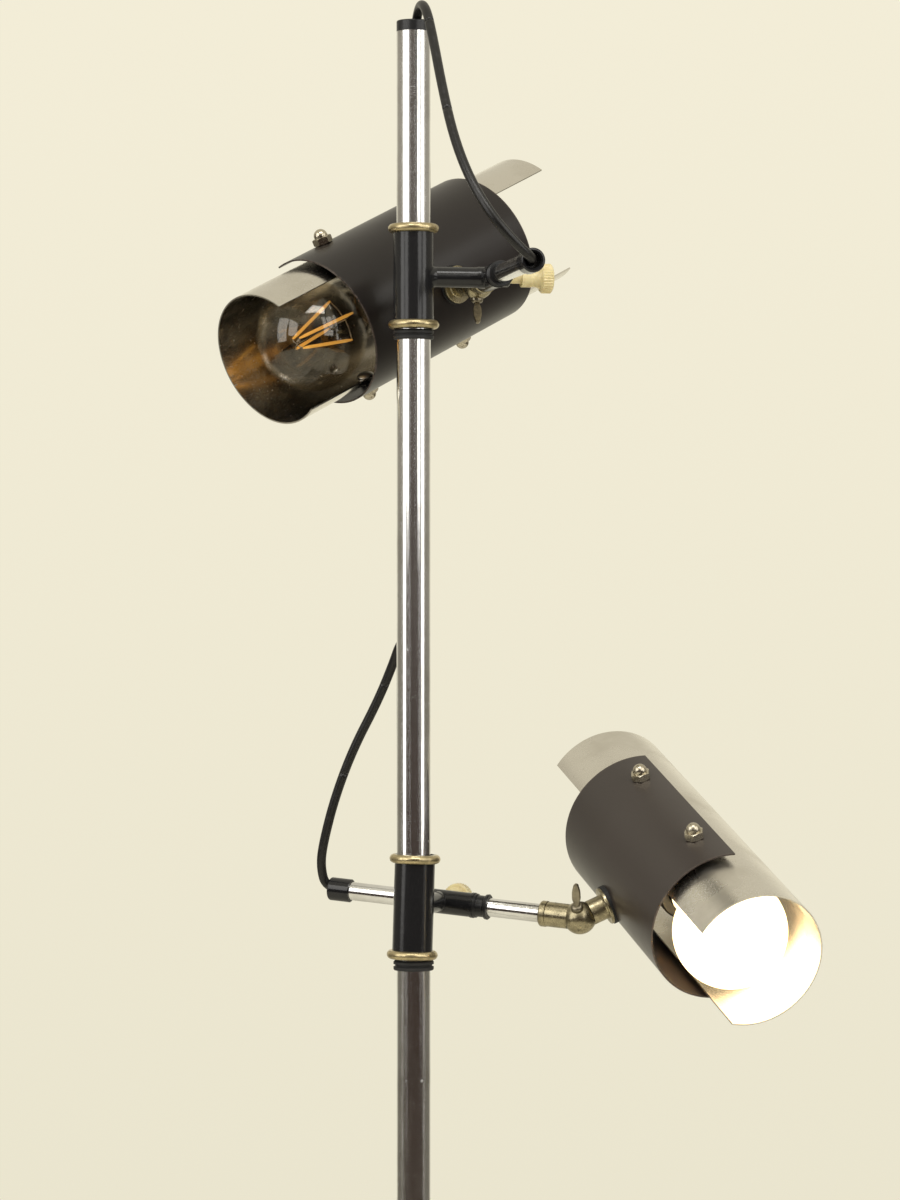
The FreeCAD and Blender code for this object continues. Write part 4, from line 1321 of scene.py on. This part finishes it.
@dataclass
class Studio:
    """Pale floor, cream surroundings, soft boxes and the camera, in metres.

    Args:
        eye: where the camera stands.
        pitch_down: how far it looks down, in degrees.
        lens: its focal length on a sensor of sensor_height, both in millimetres.
        middle: what the soft boxes face.
        box_colour: colour of their light.
        floor_radius: radius of the floor.
        floor_sides: corners of its rim.
        paper: mottling of the floor.
        floor_dark: the darker colour of that mottling.
        floor_pale: the paler one.
        floor_roughness: its roughness.
    """

    eye: Point = (0.01925, -2.080, 1.1217)
    pitch_down: float = 0.6
    lens: float = 118.0
    sensor_height: float = 36.0
    middle: Point = (0.0, 0.0, 1.1)
    box_colour: Colour = (1.0, 0.985, 0.95)
    floor_radius: float = 2.4
    floor_sides: int = 128
    paper: Mottle = Mottle(3.0, 4.0, 0.5)
    floor_dark: Colour = (0.86, 0.82, 0.68)
    floor_pale: Colour = (0.88, 0.84, 0.70)
    floor_roughness: float = 0.9

    def camera(self) -> None:
        """Puts the camera where the photograph was taken from."""
        data = bpy.data.cameras.new("viewpoint")
        data.sensor_fit = "VERTICAL"
        data.sensor_height = self.sensor_height
        data.lens = self.lens
        camera = bpy.data.objects.new("viewpoint", data)
        camera.location = self.eye
        camera.rotation_euler = (math.radians(90 - self.pitch_down), 0, 0)
        bpy.context.scene.collection.objects.link(camera)
        bpy.context.scene.camera = camera

    def floor(self) -> None:
        """Lays the floor."""
        made = bmesh.new()
        bmesh.ops.create_circle(made, cap_ends=True, segments=self.floor_sides, radius=self.floor_radius)
        ground = Mesh.new("studio_floor", made, False)
        skin = Skin("studio_floor")
        colour = skin.mix(skin.noise(self.paper), self.floor_dark, self.floor_pale)
        surface = skin.principled(Base_Color=colour, Roughness=self.floor_roughness)
        ground.data.materials.append(skin.finish(surface))

    def build(self) -> None:
        """Builds the studio around the lamp."""
        Air().build()
        self.floor()
        for box in SOFT_BOXES:
            box.hang(self.middle, self.box_colour)
        bpy.context.scene.view_settings.view_transform = "Standard"
        LOG.info("studio ready")


@dataclass
class Dresser:
    """Gives each carried-over solid its finish.

    Args:
        heads: the heads to dress.
        zinc: finish of the plain steel pieces.
        rubber: finish of the rubber pieces.
    """

    heads: Sequence[Head]
    zinc: Material = field(init=False)
    rubber: Material = field(init=False)

    def __post_init__(self) -> None:
        """Builds the finishes that stand and heads share."""
        self.zinc = Plating("zinc_plate", (0.55, 0.55, 0.54), (0.30, 0.29, 0.27), 0.32, 0.2).build()
        self.rubber = Sheath("rubber_black", (0.014, 0.014, 0.014), (0.05, 0.048, 0.046), 0.55).build()

    def paint(self, node: str, material: Material) -> None:
        """Puts one material on a node.

        Args:
            node: the node's name.
            material: its finish.
        """
        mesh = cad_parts[node].data
        mesh.materials.clear()
        mesh.materials.append(material)

    def stand(self) -> None:
        """Base, pole and what is on them."""
        chrome = Plating("pole_chrome", (0.86, 0.86, 0.85), (0.55, 0.53, 0.50), 0.05, 0.10,
                         Grain.UPRIGHT).build()
        finishes = {
            "base_plate": CastEnamel("base_enamel").build(),
            "base_pad": Felt("base_felt").build(),
            "pole_cap": GlossBlack("cap_black", 0.28, 0.2).build(),
            "pole": chrome, "pole_socket": chrome, "foot_nut": self.zinc,
            "mains_inlet_grommet": self.rubber, "cord_grommet": self.rubber,
        }
        for node, material in finishes.items():
            self.paint(node, material)

    def shared_finishes(self) -> dict[str, Material]:
        """Builds the finishes that both heads share.

        Returns:
            The materials by their parts' names.
        """
        knuckle = AgedBrass("knuckle_brass", (0.44, 0.385, 0.25), (0.16, 0.135, 0.085), 0.24).build()
        shared = {
            "slider_body": GlossBlack("slider_paint", 0.12),
            "slider_rings": AgedBrass("ring_brass"),
            "thumbscrew": Ivory("knob_ivory"),
            "arm_bush": GlossBlack("bush_black", 0.25, 0.1),
            "arm_end_cap": GlossBlack("end_cap_black", 0.08, 0.1),
            "arm_tube": Plating("arm_chrome", (0.86, 0.86, 0.85), (0.6, 0.58, 0.55), 0.05, 0.10),
            "wing_screw": AgedBrass("wing_brass", (0.34, 0.30, 0.22), (0.11, 0.095, 0.07), 0.30),
            "dome_nuts": Plating("dome_nut_nickel", (0.58, 0.53, 0.42), (0.34, 0.29, 0.21), 0.18, 0.18),
            "lamp_holder": GlossBlack("holder_bakelite", 0.25, 0.2),
            "bulb_cap": Plating("bulb_cap_metal", (0.62, 0.60, 0.56), (0.38, 0.36, 0.33), 0.25, 0.2),
            "inner_lead": Sheath("inner_lead_sheath"),
        }
        finishes = {part: finish.build() for part, finish in shared.items()}
        finishes.update(dict.fromkeys(("knuckle_fixed_half", "knuckle_moving_half"), knuckle))
        steel = ("panel_nut", "holder_bracket", "spacers", "shell_screws")
        finishes.update(dict.fromkeys(steel, self.zinc))
        finishes.update(dict.fromkeys(("stop_ring", "saddle_washer"), self.rubber))
        return finishes

    def heads_parts(self) -> None:
        """Every solid of both heads."""
        shared = self.shared_finishes()
        for head in self.heads:
            look = head.look
            own = {
                "chrome_reflector": Plating(head.node("reflector_nickel"), (0.80, 0.765, 0.69),
                                            (0.60, 0.56, 0.48), look.mirror_roughness, 0.14),
                # look.shell carries painted light on the lower head's shell.
                "black_shell": SheetPaint(head.node("shell_enamel"), head.shade_frame(), look.shell),
                "bulb_glass": BulbGlass(head.node("globe_glass"), glare=look.glare),
            }
            finishes = shared | {part: finish.build() for part, finish in own.items()}
            for part, material in finishes.items():
                self.paint(head.node(part), material)

    def smooth(self) -> None:
        """Shades round faces smooth and keeps hard edges."""
        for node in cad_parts.values():
            for polygon in node.data.polygons:
                polygon.use_smooth = True
            node.data.set_sharp_from_angle(angle=HARD_EDGE)


def main() -> None:
    """Builds the whole scene in order."""
    logging.basicConfig(level=logging.INFO)
    studio = Studio()
    studio.camera()
    heads = (UPPER, LOWER)
    sheath = Sheath("cord_sheath_black").build()
    for head in heads:
        head.add_cords(sheath)
        LOG.info("%s cords laid", head.name)
    dresser = Dresser(heads)
    dresser.stand()
    dresser.heads_parts()
    dresser.smooth()
    LOG.info("solids dressed")
    wire = Plating("filament_wire", (0.55, 0.52, 0.48), (0.35, 0.33, 0.3), 0.3, 0.2).build()
    glass = BulbGlass("stem_glass", (0.96, 0.95, 0.93), 0.10).build()
    for head in heads:
        head.add_filaments(wire, glass)
        LOG.info("%s bulb dressed: %s", head.name, ", ".join(head.pieces))
    studio.build()


if __name__ == "__main__":
    main()
